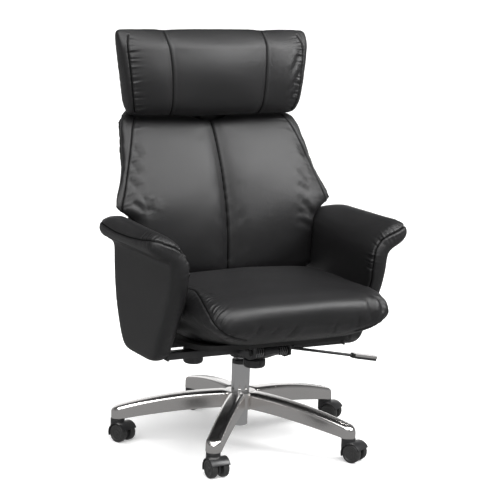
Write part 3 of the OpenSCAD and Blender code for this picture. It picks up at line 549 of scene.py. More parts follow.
def ripple(along: np.ndarray, pitch: float, seed: int) -> np.ndarray:
    """An uneven wave from -1 to 1 that never repeats exactly.

    Args:
        along: Length along a line.
        pitch: Mean distance between two crests.
        seed: Picks the wave's phases.

    Returns:
        The wave's height at each length.
    """
    rng = np.random.default_rng(seed)
    total = np.zeros_like(along)
    waves = ((1.0, 0.55), (0.61, 0.45), (1.73, 0.3))
    for factor, share in waves:
        total += share * np.sin(2 * math.pi * along * factor / pitch + rng.uniform(0, PHASES))
    return total / sum(share for _, share in waves)


class Path:
    """A line of points over a surface, along which a seam or a crease runs."""

    def __init__(self, points: Sequence[Point]) -> None:
        """Keeps the points, in order along the line."""
        self.points = np.array(points, float)

    def mirrored(self) -> "Path":
        """The same line on the chair's other side."""
        return Path(self.points * np.array([-1.0, 1.0, 1.0]))

    def runs(self) -> np.ndarray:
        """The length along the line to each of its points."""
        steps = np.linalg.norm(np.diff(self.points, axis=0), axis=1)
        return np.concatenate([[0.0], np.cumsum(steps)])

    def places(self, lengths: np.ndarray) -> np.ndarray:
        """The places at some lengths along the line, one row for each."""
        return np.stack([np.interp(lengths, self.runs(), self.points[:, k]) for k in range(3)], axis=1)

    def spaced(self, pitch: float) -> np.ndarray:
        """Places along the line, one pitch apart, one row for each."""
        return self.places(np.arange(pitch / 2, self.runs()[-1], pitch))

    def laid_on(self, obj: bpy.types.Object, pitch: float = 0.006) -> "Path":
        """The same line, drawn onto a surface.

        Args:
            obj: The piece whose surface the line follows.
            pitch: Distance between the points of the new line.

        Returns:
            The line with every point on the surface.
        """
        total = self.runs()[-1]
        line = self.places(np.linspace(0.0, total, max(2, round(total / pitch))))
        return Path([tuple(obj.closest_point_on_mesh(Vector(spot))[1]) for spot in line])

    def measure(self, places: np.ndarray) -> tuple[np.ndarray, np.ndarray, np.ndarray]:
        """Finds how far each place lies from the line.

        Args:
            places: One row for each place.

        Returns:
            The distance, the length along the line to the nearest point, and that point.
        """
        best = np.full(len(places), np.inf)
        along = np.zeros(len(places))
        nearest = np.zeros_like(places)
        run = 0.0
        for start, end in zip(self.points[:-1], self.points[1:]):
            step = end - start
            length = float(np.linalg.norm(step))
            share = np.clip(((places - start) @ step) / length**2, 0.0, 1.0)
            foot = start + share[:, None] * step
            gap = np.linalg.norm(places - foot, axis=1)
            closer = gap < best
            best[closer] = gap[closer]
            along[closer] = run + share[closer] * length
            nearest[closer] = foot[closer]
            run += length
        return best, along, nearest


class Mark:
    """Something that moves a surface along its normals and may paint shade into it there."""

    def lay_on(self, obj: bpy.types.Object) -> None:
        """Draws the mark's line, where it has one, onto a surface."""

    def height(self, places: np.ndarray) -> tuple[np.ndarray, np.ndarray]:
        """The height along the normal and the painted shade in a crease from 0 to 1, for each place."""
        raise NotImplementedError


@dataclass
class LineMark(Mark):
    """A mark that follows a line."""

    path: Path

    def lay_on(self, obj: bpy.types.Object) -> None:
        """Draws the mark's line onto a surface."""
        self.path = self.path.laid_on(obj)


@dataclass
class Seam(LineMark):
    """A sewn line: a narrow valley with raised edges in a broader roll, painted shade in the valley, and
    stitches beside it.

    Fields that end in widths are multiples of the valley's width.
    """

    depth: float = 0.003
    width: float = 0.0026
    rise: float = 0.0007
    stitched: bool = True
    roll: float = 0.0
    offset: float = 0.0036
    edge_at_widths: float = 2.4
    edge_widths: float = 1.3
    roll_widths: float = 5.5
    painted_shade_widths: float = 0.8

    def height(self, places: np.ndarray) -> tuple[np.ndarray, np.ndarray]:
        """Works out how far the seam moves a surface.

        Args:
            places: One row for each vertex.

        Returns:
            The height along the normal, and the painted shade in the valley from 0 to 1.
        """
        gap, _, _ = self.path.measure(places)
        edge = bell(gap - self.edge_at_widths * self.width, self.edge_widths * self.width)
        drawn = bell(gap, self.roll_widths * self.width)
        height = self.rise * edge - self.depth * bell(gap, self.width) - self.roll * drawn
        # The second value is painted shade along the valley.
        return height, bell(gap, self.painted_shade_widths * self.width)

    def pair(self) -> list["Seam"]:
        """The seam and its like on the chair's other side."""
        return [self, replace(self, path=self.path.mirrored())]


@dataclass
class Puckers(LineMark):
    """Short wrinkles that run away from a sewn line and fade, on both sides or towards one, with painted
    shade in their hollows.

    The slant and the waver bend them along the line, per length away from it. The steady part is
    the share of their strength that doesn't vary, the least reach and its spread make some longer
    than others, and the calm flattens them next to the line itself.
    """

    pitch: float
    reach: float
    depth: float
    seed: int
    side: Point | None = None
    slant: float = 0.0
    waver: float = 0.1
    waver_rate: float = 60.0
    steady: float = 0.65
    uneven_pitches: float = 5.1
    uneven_seed: int = 7
    least_reach: float = 0.7
    reach_spread: float = 0.5
    calm: float = 0.7
    calm_reach: float = 0.18
    side_blur: float = 0.003
    # Painted shade at the bottom of the deepest hollows.
    dark: float = 0.35

    def height(self, places: np.ndarray) -> tuple[np.ndarray, np.ndarray]:
        """Works out how far the wrinkles move a surface.

        Args:
            places: One row for each vertex.

        Returns:
            The height along the normal, and the painted shade in the wrinkles' hollows from 0 to 1.
        """
        gap, along, nearest = self.path.measure(places)
        bent = along + self.slant * gap + self.waver * gap * np.sin(self.waver_rate * along)
        wave = ripple(bent, self.pitch, self.seed)
        varied = ripple(along, self.uneven_pitches * self.pitch, self.seed + self.uneven_seed)
        uneven = self.steady + (1 - self.steady) * varied
        fade = bell(gap, self.reach * (self.least_reach + self.reach_spread * uneven))
        fade *= 1 - self.calm * bell(gap, self.calm_reach * self.reach)
        if self.side is not None:
            way = (places - nearest) @ np.array(self.side)
            fade /= 1 + np.exp(-way / self.side_blur)
        height = self.depth * wave * fade * uneven
        # Painted shade where the wrinkles dip below the surface.
        return height, np.clip(-height / self.depth, 0, 1) * self.dark


@dataclass
class Fold(LineMark):
    """A soft valley with a rounded ridge at each side, which fades towards its ends, with painted shade along
    its bottom.

    Fields that end in widths are multiples of the valley's width.
    """

    depth: float
    width: float
    rise: float = 0.5
    ridge_at_widths: float = 1.9
    ridge_widths: float = 1.1
    painted_shade_widths: float = 0.5
    fade_length: float = 0.25
    end_share: float = 0.15
    # Painted shade along the valley's bottom.
    dark: float = 0.25

    def height(self, places: np.ndarray) -> tuple[np.ndarray, np.ndarray]:
        """Works out how far the fold moves a surface.

        Args:
            places: One row for each vertex.

        Returns:
            The height along the normal, and the painted shade in the valley from 0 to 1.
        """
        gap, along, _ = self.path.measure(places)
        total = self.path.runs()[-1]
        ends = np.minimum(along, total - along) / (self.fade_length * total) + self.end_share
        ends = np.clip(ends, 0, 1)
        ridge = bell(gap - self.ridge_at_widths * self.width, self.ridge_widths * self.width)
        height = ends * self.depth * (self.rise * ridge - bell(gap, self.width))
        # The second value is painted shade along the valley.
        return height, ends * self.dark * bell(gap, self.painted_shade_widths * self.width)


@dataclass
class Swell(Mark):
    """A broad soft rise or hollow."""

    centre: Point
    radii: Point
    rise: float

    def height(self, places: np.ndarray) -> tuple[np.ndarray, np.ndarray]:
        """The height along the normal for each place, and no crease."""
        far = ((places - np.array(self.centre)) / np.array(self.radii)) ** 2
        return self.rise * np.exp(-far.sum(1)), np.zeros(len(places))


@dataclass
class Slackness(Mark):
    """Low, broad unevenness of leather over foam, the same at every run.

    It adds up waves that run in random directions and divides them by their usual sum.
    """

    rise: float
    pitch: float
    seed: int
    waves: int = 7
    shortest_pitches: float = 0.6
    longest_pitches: float = 1.6
    usual_sum: float = 2.6

    def height(self, places: np.ndarray) -> tuple[np.ndarray, np.ndarray]:
        """Works out how far the unevenness moves a surface.

        Args:
            places: One row for each vertex.

        Returns:
            The height along the normal, and no crease.
        """
        rng = np.random.default_rng(self.seed)
        total = np.zeros(len(places))
        for _ in range(self.waves):
            way = rng.normal(size=3)
            way /= np.linalg.norm(way)
            length = self.pitch * rng.uniform(self.shortest_pitches, self.longest_pitches)
            total += np.sin(places @ way * 2 * math.pi / length + rng.uniform(0, PHASES))
        return self.rise * total / self.usual_sum, np.zeros(len(places))


@dataclass
class Bow:
    """Rolls a cushion's front back towards one edge, so that the face is curved and not flat.

    It begins at the start and reaches its full set-back at the end, places along Z, or along X on
    both sides if sideways. Past the end it grows on, up to the most of that run. The face and the
    rear are the places along Y where it works in full and not at all.
    """

    start: float
    end: float
    back: float
    sideways: bool = False
    face: float = 0.167
    rear: float = 0.246
    most: float = 1.6

    def moved(self, places: np.ndarray) -> np.ndarray:
        """Works out the rolled places.

        Args:
            places: One row for each vertex.

        Returns:
            The new places.
        """
        run = np.abs(places[:, 0]) if self.sideways else places[:, 2]
        share = np.clip((run - self.start) / (self.end - self.start), 0.0, self.most) ** 2
        front = np.clip((self.rear - places[:, 1]) / (self.rear - self.face), 0.0, 1.0)
        shifted = places.copy()
        shifted[:, 1] += self.back * share * front
        return shifted


class Filling(Enum):
    """How a padded piece gets its swell."""

    CLOTH = "cloth simulation under pressure"
    CARVED = "moved points alone"


@dataclass(frozen=True)
class Foam:
    """How the leather behaves while the filling presses on it."""

    start_inset: float = 0.004
    pressure: float = 4.0
    frames: int = 20
    quality: int = 3
    mass: float = 0.2
    stretch: float = 20.0
    shear: float = 8.0
    bending: float = 4.0
    held_width: float = 0.006
    relax_rounds: int = 6

    def press(self, obj: bpy.types.Object, held: np.ndarray) -> None:
        """Runs the cloth simulation and keeps its last shape.

        Args:
            obj: The piece.
            held: For each vertex, whether it stays in its place.
        """
        group = obj.vertex_groups.new(name="held")
        group.add([int(i) for i in np.where(held)[0]], 1.0, "REPLACE")
        cloth = obj.modifiers.new("cloth", "CLOTH")
        settings = cloth.settings
        settings.quality = self.quality
        settings.mass = self.mass
        settings.use_pressure = True
        settings.uniform_pressure_force = self.pressure
        settings.effector_weights.gravity = 0.0
        settings.tension_stiffness = self.stretch
        settings.compression_stiffness = self.stretch
        settings.shear_stiffness = self.shear
        settings.bending_stiffness = self.bending
        settings.shrink_min = 0.0
        settings.vertex_group_mass = group.name
        cloth.collision_settings.use_collision = False
        cloth.point_cache.frame_start = 1
        cloth.point_cache.frame_end = self.frames
        scene = bpy.context.scene
        scene.frame_start, scene.frame_end = 1, self.frames
        for step in range(1, self.frames + 1):
            scene.frame_set(step)
        Bench.apply_modifiers(obj)
        scene.frame_set(1)


@dataclass(frozen=True)
class Stitch:
    """One stitch of thread: four rings along its run, thin and sunk at both ends."""

    pitch: float = 0.0046
    ends: tuple[float, ...] = (-0.0017, -0.0009, 0.0009, 0.0017)
    radii: tuple[float, ...] = (0.00012, 0.00045, 0.00045, 0.00012)
    sinks: tuple[float, ...] = (-0.0004, 0.0, 0.0, -0.0004)
    lift: float = 0.0001
    corners: int = 4

    def sew(self, work: bmesh.types.BMesh, centre: np.ndarray, ahead: np.ndarray, normal: np.ndarray) -> None:
        """Adds one stitch to a mesh.

        Args:
            work: The mesh that collects the stitches.
            centre: The stitch's middle.
            ahead: The way that it runs.
            normal: The surface's normal there.
        """
        across = np.cross(normal, ahead)
        turns = [2 * math.pi * k / self.corners for k in range(self.corners)]
        rings = []
        for end, radius, sink in zip(self.ends, self.radii, self.sinks):
            middle = centre + ahead * end + normal * sink
            spots = [middle + radius * (math.cos(turn) * across + math.sin(turn) * normal) for turn in turns]
            rings.append([work.verts.new(spot) for spot in spots])
        for first, second in zip(rings[:-1], rings[1:]):
            for k in range(self.corners):
                after = (k + 1) % self.corners
                work.faces.new((first[k], first[after], second[after], second[k]))
        work.faces.new(rings[0][::-1])
        work.faces.new(rings[-1])


@dataclass
class Upholstery:
    """One padded piece, made from its CAD solid.

    The voxel and the smoothing set its even mesh, the cap is the most that the filling may move a
    point, and the eases are what it grows beyond its solid's box at the low and the high side.
    """

    node: str
    body: str
    name: str
    slot: str
    finish: Finish = Finish.LEATHER
    filling: Filling = Filling.CLOTH
    foam: Foam = Foam()
    thread: Stitch = Stitch()
    voxel: float = 0.008
    smoothing: int = 4
    cap: float = 0.012
    fine_levels: int = 1
    fill: float = 0.8
    ease_low: Point = (0.0, 0.0, 0.0)
    ease_high: Point = (0.0, 0.0, 0.0)
    bows: list[Bow] = field(default_factory=list)
    seams: list[Seam] = field(default_factory=list)
    marks: list[Mark] = field(default_factory=list)

    def build(self, palette: Palette) -> bpy.types.Object:
        """Makes the piece, sews it, dresses it and hangs it on its body.

        Args:
            palette: The chair's finishes.

        Returns:
            The finished object.
        """
        obj = Bench.copy_of_node(self.node, self.name)
        self.even_out(obj)
        if self.filling is Filling.CLOTH:
            self.inflate(obj)
        for _ in range(self.fine_levels):
            fine = obj.modifiers.new("fine", "SUBSURF")
            fine.levels = fine.render_levels = 1
            Bench.apply_modifiers(obj)
        self.fit(obj)
        self.sculpt(obj)
        Bench.smooth_all(obj.data)
        Bench.dress(obj, palette[self.finish])
        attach(obj, self.body)
        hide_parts(self.node)
        self.stitch(obj, palette)
        LOG.info("%s: %d points", self.name, len(obj.data.vertices))
        return obj

    def even_out(self, obj: bpy.types.Object) -> None:
        """Gives the copy an even, smooth mesh.

        Args:
            obj: The copy of the CAD solid.
        """
        remesh = obj.modifiers.new("even", "REMESH")
        remesh.mode = "VOXEL"
        remesh.voxel_size = self.voxel
        Bench.relax(obj, self.smoothing)

    def inflate(self, obj: bpy.types.Object) -> None:
        """Fills the piece by a cloth simulation under pressure, held along its seams.

        Args:
            obj: The evenly meshed piece.
        """
        whole = Bench.points(obj)
        held = np.zeros(len(whole), bool)
        for seam in self.seams:
            held |= seam.path.measure(whole)[0] < self.foam.held_width
        Bench.place_points(obj, whole - self.foam.start_inset * Bench.normals(obj))
        self.foam.press(obj, held)
        moved = Bench.points(obj) - whole
        length = np.maximum(np.linalg.norm(moved, axis=1), TINY)
        Bench.place_points(obj, whole + moved * np.minimum(1.0, self.cap / length)[:, None])
        Bench.relax(obj, self.foam.relax_rounds)

    def fit(self, obj: bpy.types.Object) -> None:
        """Draws the filled piece out to its CAD solid's size, curves it and lays its lines on it.

        Args:
            obj: The filled piece, which meshing and filling have left a little smaller or larger.
        """
        places, solid = Bench.points(obj), Bench.points(frame["nodes"][self.node])
        share = (places - places.min(0)) / (places.max(0) - places.min(0))
        low, high = solid.min(0) - np.array(self.ease_low), solid.max(0) + np.array(self.ease_high)
        places = low + share * (high - low)
        for bow in self.bows:
            places = bow.moved(places)
        Bench.place_points(obj, places)
        for mark in [*self.marks, *self.seams]:
            mark.lay_on(obj)

    def sculpt(self, obj: bpy.types.Object) -> None:
        """Presses the seams, puckers and folds into the surface and marks where it is creased, with painted
        shade in the hollows.

        Args:
            obj: The filled piece.
        """
        places, normals = Bench.points(obj), Bench.normals(obj)
        height, crease_shade_and_wear = np.zeros(len(places)), np.zeros(len(places))
        for mark in [*self.marks, *self.seams]:
            # The second value of each mark is painted shade in its hollows.
            up, dark = mark.height(places)
            height += up
            crease_shade_and_wear = np.maximum(crease_shade_and_wear, dark)
        Bench.place_points(obj, places + height[:, None] * normals)
        # The attribute holds painted shade in the creases, where the leather is also rougher.
        attribute = obj.data.attributes.new("crease_shade_and_wear", "FLOAT", "POINT")
        attribute.data.foreach_set("value", np.clip(crease_shade_and_wear, 0, 1).astype(np.float32))

    def stitch(self, obj: bpy.types.Object, palette: Palette) -> None:
        """Sews a row of stitches on each side of every stitched seam.

        Args:
            obj: The finished piece.
            palette: The chair's finishes.
        """
        rows = [seam for seam in self.seams if seam.stitched]
        if not rows:
            return
        places, normals = Bench.points(obj), Bench.normals(obj)
        work = bmesh.new()
        for seam in rows:
            for side in (-1.0, 1.0):
                self.sew_row(work, seam, side, places, normals)
        mesh = bpy.data.meshes.new(self.name + "_stitches")
        work.to_mesh(mesh)
        work.free()
        thread = Bench.add_object(mesh.name, mesh)
        Bench.smooth_all(mesh)
        Bench.dress(thread, palette[Finish.THREAD])
        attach(thread, self.body)

    def sew_row(
        self, work: bmesh.types.BMesh, seam: Seam, side: float, places: np.ndarray, normals: np.ndarray
    ) -> None:
        """Adds one row of stitches to a mesh.

        Args:
            work: The mesh that collects the stitches.
            seam: The seam beside which the row runs.
            side: 1 for one side of the seam, -1 for the other.
            places: The surface's vertices.
            normals: The surface's vertex normals.
        """
        line = seam.path.spaced(self.thread.pitch)
        for spot, way in zip(line, np.gradient(line, axis=0)):
            normal = normals[int(np.argmin(((places - spot) ** 2).sum(1)))]
            ahead = way / (np.linalg.norm(way) + TINY)
            target = spot + side * seam.offset * np.cross(normal, ahead)
            near = int(np.argmin(((places - target) ** 2).sum(1)))
            normal = normals[near]
            height = float((places[near] - target) @ normal) + self.thread.lift
            self.thread.sew(work, target + normal * height, ahead, normal)


# Upholstered pieces


# Three points on a line, then the fold's depth and width.
FoldRow = tuple[Point, Point, Point, float, float]


def folds(rows: Sequence[FoldRow]) -> list[Fold]:
    """Makes a fold from each row."""
    return [Fold(Path(points), depth, width) for *points, depth, width in rows]


def swells(centre: Point, radii: Point, rise: float) -> list[Swell]:
    """Makes a swell and its like on the chair's other side."""
    return [Swell((side * centre[0], *centre[1:]), radii, rise) for side in (1.0, -1.0)]


@dataclass
class Headrest:
    """The bolster: three front panels, a boxed panel at each end and a rolled top."""

    panel_seam: tuple[Point, ...] = (
        (0.150, 0.232, 1.090), (0.150, 0.200, 1.086), (0.149, 0.182, 1.070), (0.147, 0.171, 1.042),
        (0.144, 0.170, 1.002), (0.142, 0.170, 0.967), (0.140, 0.171, 0.927), (0.138, 0.180, 0.888),
        (0.136, 0.196, 0.874), (0.134, 0.222, 0.868),
    )
    end_seam: tuple[Point, ...] = (
        (0.258, 0.215, 1.086), (0.268, 0.194, 1.070), (0.271, 0.184, 1.047), (0.268, 0.183, 1.021),
        (0.262, 0.183, 0.981), (0.257, 0.184, 0.941), (0.251, 0.187, 0.906), (0.241, 0.201, 0.878),
    )
    rear_seam: tuple[Point, ...] = (
        (0.262, 0.250, 1.080), (0.268, 0.256, 1.050), (0.262, 0.257, 0.990), (0.254, 0.257, 0.930),
        (0.244, 0.246, 0.886),
    )
    folds: tuple[FoldRow, ...] = (
        ((0.262, 0.178, 1.045), (0.240, 0.170, 1.010), (0.225, 0.169, 0.985), 0.0022, 0.008),
        ((0.262, 0.176, 1.000), (0.240, 0.170, 0.960), (0.222, 0.169, 0.930), 0.0022, 0.008),
        ((0.255, 0.178, 0.960), (0.236, 0.171, 0.920), (0.222, 0.172, 0.900), 0.0020, 0.007),
    )

    def build(self, palette: Palette) -> None:
        """Makes the headrest.

        Args:
            palette: The chair's finishes.
        """
        panel, end, rear = Path(self.panel_seam), Path(self.end_seam), Path(self.rear_seam)
        piece = Upholstery(
            node="headrest_cushion", body="headrest", name="headrest_pad", slot="headrest_leather",
            voxel=0.007, cap=0.011, fine_levels=2, fill=0.85,
            ease_low=(0.007, 0.003, 0.0), ease_high=(0.013, 0.0, 0.009),
            bows=[
                Bow(start=0.960, end=1.065, back=0.014),
                Bow(start=1.050, end=1.096, back=0.026),
                Bow(start=0.965, end=0.885, back=0.008),
                Bow(start=0.150, end=0.272, back=0.014, sideways=True),
            ],
            seams=[
                *Seam(panel, stitched=False, roll=0.0012).pair(),
                *Seam(end, roll=0.0010).pair(),
                *Seam(rear, stitched=False).pair(),
            ],
            marks=[
                Slackness(0.0004, 0.12, 5),
                Puckers(end.mirrored(), 0.0150, 0.020, 0.0030, 11, (1.0, 0.0, 0.0)),
                Puckers(end, 0.0150, 0.020, 0.0030, 12, (-1.0, 0.0, 0.0)),
                Puckers(rear, 0.018, 0.016, 0.0014, 13),
                Puckers(rear.mirrored(), 0.018, 0.016, 0.0014, 14),
                *folds(self.folds),
                Swell((0.0, 0.168, 0.990), (0.12, 0.05, 0.06), 0.003),
                Swell((0.0, 0.180, 0.880), (0.17, 0.05, 0.032), 0.006),
                *swells((0.205, 0.168, 0.985), (0.05, 0.04, 0.06), 0.003),
            ],
        )
        piece.build(palette)


@dataclass
class BackRest:
    """The back: two lobes with a deep sewn groove, boxed sides, wings and a leather rear cover."""

    groove: tuple[Point, ...] = (
        (0.0, 0.238, 0.860), (0.0, 0.216, 0.846), (0.0, 0.178, 0.785), (0.0, 0.139, 0.699),
        (0.0, 0.109, 0.596), (0.0, 0.098, 0.520), (0.0, 0.097, 0.450),
    )
    box_seam: tuple[Point, ...] = (
        (0.228, 0.232, 0.862), (0.246, 0.203, 0.836), (0.259, 0.180, 0.797), (0.272, 0.162, 0.757),
        (0.284, 0.146, 0.719), (0.296, 0.130, 0.682), (0.311, 0.114, 0.640), (0.312, 0.110, 0.622),
    )
    outer_seam: tuple[Point, ...] = (
        (0.252, 0.246, 0.853), (0.262, 0.232, 0.823), (0.270, 0.207, 0.790), (0.277, 0.186, 0.743),
        (0.291, 0.168, 0.691), (0.306, 0.152, 0.648),
    )
    cover_seam: tuple[Point, ...] = (
        (-0.268, 0.235, 0.700), (-0.120, 0.239, 0.700), (0.0, 0.240, 0.700), (0.120, 0.239, 0.700),
        (0.268, 0.235, 0.700),
    )
    folds: tuple[FoldRow, ...] = (
        ((-0.252, 0.179, 0.800), (-0.245, 0.166, 0.779), (-0.238, 0.155, 0.762), 0.0016, 0.010),
        ((-0.268, 0.160, 0.757), (-0.258, 0.147, 0.739), (-0.252, 0.135, 0.719), 0.0020, 0.010),
        ((-0.282, 0.140, 0.712), (-0.271, 0.129, 0.697), (-0.260, 0.120, 0.684), 0.0022, 0.010),
        ((-0.285, 0.109, 0.652), (-0.264, 0.104, 0.638), (-0.251, 0.099, 0.622), 0.0030, 0.009),
        ((-0.250, 0.110, 0.664), (-0.245, 0.102, 0.643), (-0.237, 0.097, 0.619), 0.0026, 0.009),
        ((-0.228, 0.106, 0.660), (-0.228, 0.100, 0.640), (-0.229, 0.096, 0.622), 0.0014, 0.010),
        ((0.262, 0.105, 0.594), (0.245, 0.099, 0.613), (0.222, 0.097, 0.634), 0.0028, 0.010),
        ((0.262, 0.104, 0.587), (0.235, 0.097, 0.600), (0.206, 0.094, 0.610), 0.0022, 0.010),
        ((0.258, 0.100, 0.562), (0.231, 0.095, 0.575), (0.208, 0.092, 0.588), 0.0014, 0.010),
        ((0.252, 0.171, 0.784), (0.262, 0.164, 0.767), (0.272, 0.156, 0.748), 0.0020, 0.010),
        ((0.230, 0.133, 0.722), (0.246, 0.125, 0.700), (0.262, 0.118, 0.677), 0.0014, 0.012),
        ((0.218, 0.114, 0.682), (0.240, 0.111, 0.671), (0.262, 0.110, 0.659), 0.0015, 0.012),
    )

    def build(self, palette: Palette) -> None:
        """Makes the back cushion and the rear cover.

        Args:
            palette: The chair's finishes.
        """
        box, outer, groove = Path(self.box_seam), Path(self.outer_seam), Path(self.groove)
        cushion = Upholstery(
            node="back_cushion", body="back", name="back_pad", slot="back_leather",
            smoothing=14, fine_levels=2, ease_low=(0.005, 0.0, 0.0), ease_high=(0.007, 0.0, 0.002),
            seams=[
                Seam(groove, depth=0.0050, width=0.0030, rise=0.0, stitched=False, roll=0.0022),
                *Seam(box, roll=0.0008).pair(),
                *Seam(outer, stitched=False).pair(),
            ],
            marks=[
                Slackness(0.0006, 0.16, 21),
                Puckers(box.mirrored(), 0.024, 0.026, 0.0013, 22, (0.8, -0.5, 0.0), 0.5),
                Puckers(box, 0.028, 0.030, 0.0013, 23, (-0.8, -0.5, 0.0), 0.5),
                *folds(self.folds),
                *swells((0.120, 0.100, 0.600), (0.08, 0.08, 0.12), 0.003),
            ],
        )
        cushion.build(palette)
        across = Path(self.cover_seam)
        cover = Upholstery(
            node="back_cover", body="back", name="rear_cover", slot="cover_leather",
            finish=Finish.COVER_LEATHER, filling=Filling.CARVED, voxel=0.006, smoothing=2, fill=0.4,
            seams=[Seam(across, depth=0.0018, width=0.0035, rise=0.0006)],
            marks=[Slackness(0.0007, 0.16, 31), Puckers(across, 0.035, 0.02, 0.0006, 32)],
        )
        cover.build(palette)


@dataclass
class SeatPad:
    """The seat: one panel that rolls over the front, with a boxed panel at each side."""

    side_seam: tuple[Point, ...] = (
        (0.240, 0.050, 0.456), (0.232, -0.050, 0.461), (0.221, -0.156, 0.460), (0.235, -0.209, 0.456),
        (0.247, -0.258, 0.446), (0.2516, -0.295, 0.4316), (0.2496, -0.3255, 0.4126), (0.239, -0.344, 0.393),
        (0.216, -0.349, 0.375), (0.190, -0.342, 0.362), (0.160, -0.330, 0.352),
    )
    corner: tuple[Point, ...] = (
        (0.228, -0.213, 0.459), (0.242, -0.266, 0.448), (0.247, -0.310, 0.432), (0.240, -0.338, 0.400),
    )
    folds: tuple[FoldRow, ...] = (
        ((-0.134, -0.355, 0.407), (-0.143, -0.353, 0.382), (-0.148, -0.350, 0.370), 0.0022, 0.009),
        ((-0.080, -0.356, 0.400), (-0.090, -0.352, 0.376), (-0.094, -0.346, 0.366), 0.0016, 0.009),
        ((-0.026, -0.356, 0.407), (-0.033, -0.351, 0.373), (-0.047, -0.330, 0.354), 0.0016, 0.009),
        ((0.091, -0.356, 0.403), (0.088, -0.354, 0.377), (0.094, -0.330, 0.354), 0.0018, 0.009),
        ((0.150, -0.352, 0.412), (0.152, -0.354, 0.390), (0.158, -0.345, 0.368), 0.0016, 0.009),
        ((0.183, -0.330, 0.443), (0.185, -0.352, 0.416), (0.192, -0.357, 0.390), 0.0030, 0.009),
        ((0.216, -0.320, 0.446), (0.220, -0.339, 0.429), (0.219, -0.352, 0.408), 0.0040, 0.008),
    )

    def build(self, palette: Palette) -> None:
        """Makes the seat cushion.

        Args:
            palette: The chair's finishes.
        """
        side, corner = Path(self.side_seam), Path(self.corner)
        cushion = Upholstery(
            node="seat_cushion", body="seat", name="seat_pad", slot="seat_leather",
            fine_levels=2, fill=0.85, ease_low=(0.002, 0.0, 0.0), ease_high=(0.003, 0.0, 0.008),
            seams=Seam(side, roll=0.0010).pair(),
            marks=[
                Slackness(0.0006, 0.14, 41),
                Puckers(side.mirrored(), 0.030, 0.020, 0.0014, 42),
                Puckers(side, 0.030, 0.020, 0.0014, 43),
                Puckers(corner.mirrored(), 0.0165, 0.024, 0.0042, 44, (1.0, 0.0, 0.0), 0.6),
                Puckers(corner, 0.0190, 0.026, 0.0036, 45, (-1.0, 0.0, 0.0), 0.6),
                *folds(self.folds),
                Swell((0.0, -0.338, 0.434), (0.27, 0.026, 0.022), 0.009),
                Swell((0.0, -0.350, 0.378), (0.25, 0.030, 0.026), -0.007),
                *swells((0.252, -0.150, 0.362), (0.040, 0.150, 0.030), -0.014),
                Swell((0.0, -0.120, 0.470), (0.17, 0.14, 0.05), 0.003),
            ],
        )
        cushion.build(palette)


class Side(Enum):
    """A side of the chair, as the sitter has it."""

    LEFT = "left"
    RIGHT = "right"


@dataclass
class Armrest:
    """One padded arm: a smooth upright panel under a wide rolled rim."""

    side: Side
    seed: int
    rim_seam: tuple[Point, ...] = (
        (0.366, 0.128, 0.606), (0.3725, 0.097, 0.600), (0.3750, 0.005, 0.594), (0.3748, -0.083, 0.595),
        (0.3725, -0.159, 0.600), (0.3645, -0.208, 0.602), (0.3400, -0.2245, 0.597), (0.3150, -0.2245, 0.588),
        (0.2915, -0.2180, 0.573), (0.2775, -0.2175, 0.550), (0.2710, -0.219, 0.515), (0.2705, -0.212, 0.465),
        (0.2705, -0.190, 0.410),
    )
    lower_seam: tuple[Point, ...] = (
        (0.330, 0.135, 0.556), (0.352, 0.120, 0.562), (0.362, 0.057, 0.566), (0.360, -0.081, 0.565),
        (0.357, -0.175, 0.567), (0.352, -0.205, 0.568),
    )
    bend: tuple[Point, ...] = (
        (0.3735, -0.150, 0.599), (0.3605, -0.221, 0.598), (0.341, -0.2264, 0.593), (0.3195, -0.2275, 0.585),
        (0.298, -0.223, 0.572),
    )
    lip: tuple[Point, ...] = (
        (0.298, -0.223, 0.572), (0.282, -0.2195, 0.553), (0.2765, -0.2216, 0.525), (0.272, -0.217, 0.490),
    )

    def build(self, palette: Palette) -> None:
        """Makes the arm.

        Args:
            palette: The chair's finishes.
        """
        lines = [Path(points) for points in (self.rim_seam, self.lower_seam, self.bend, self.lip)]
        if self.side is Side.RIGHT:
            lines = [line.mirrored() for line in lines]
        rim, lower, bend, lip = lines
        arm = Upholstery(
            node=f"armrest_{self.side.value}", body="seat", name=f"arm_pad_{self.side.value}",
            slot="arm_leather", filling=Filling.CARVED, voxel=0.007, smoothing=6, fine_levels=2, fill=0.7,
            ease_low=(0.003, 0.002, 0.0), ease_high=(0.003, 0.0, 0.002),
            seams=[Seam(rim), Seam(lower, depth=0.0022, width=0.0034, rise=0.0, stitched=False)],
            marks=[
                Slackness(0.0004, 0.13, self.seed),
                Puckers(bend, 0.0115, 0.024, 0.0030, self.seed + 1, (0.0, 0.8, 0.6)),
                Puckers(bend, 0.0130, 0.014, 0.0014, self.seed + 2, (0.0, -0.8, -0.6)),
                Puckers(lip, 0.0150, 0.024, 0.0034, self.seed + 3, (0.0, 1.0, 0.0)),
            ],
        )
        arm.build(palette)


# Base, column and mechanism


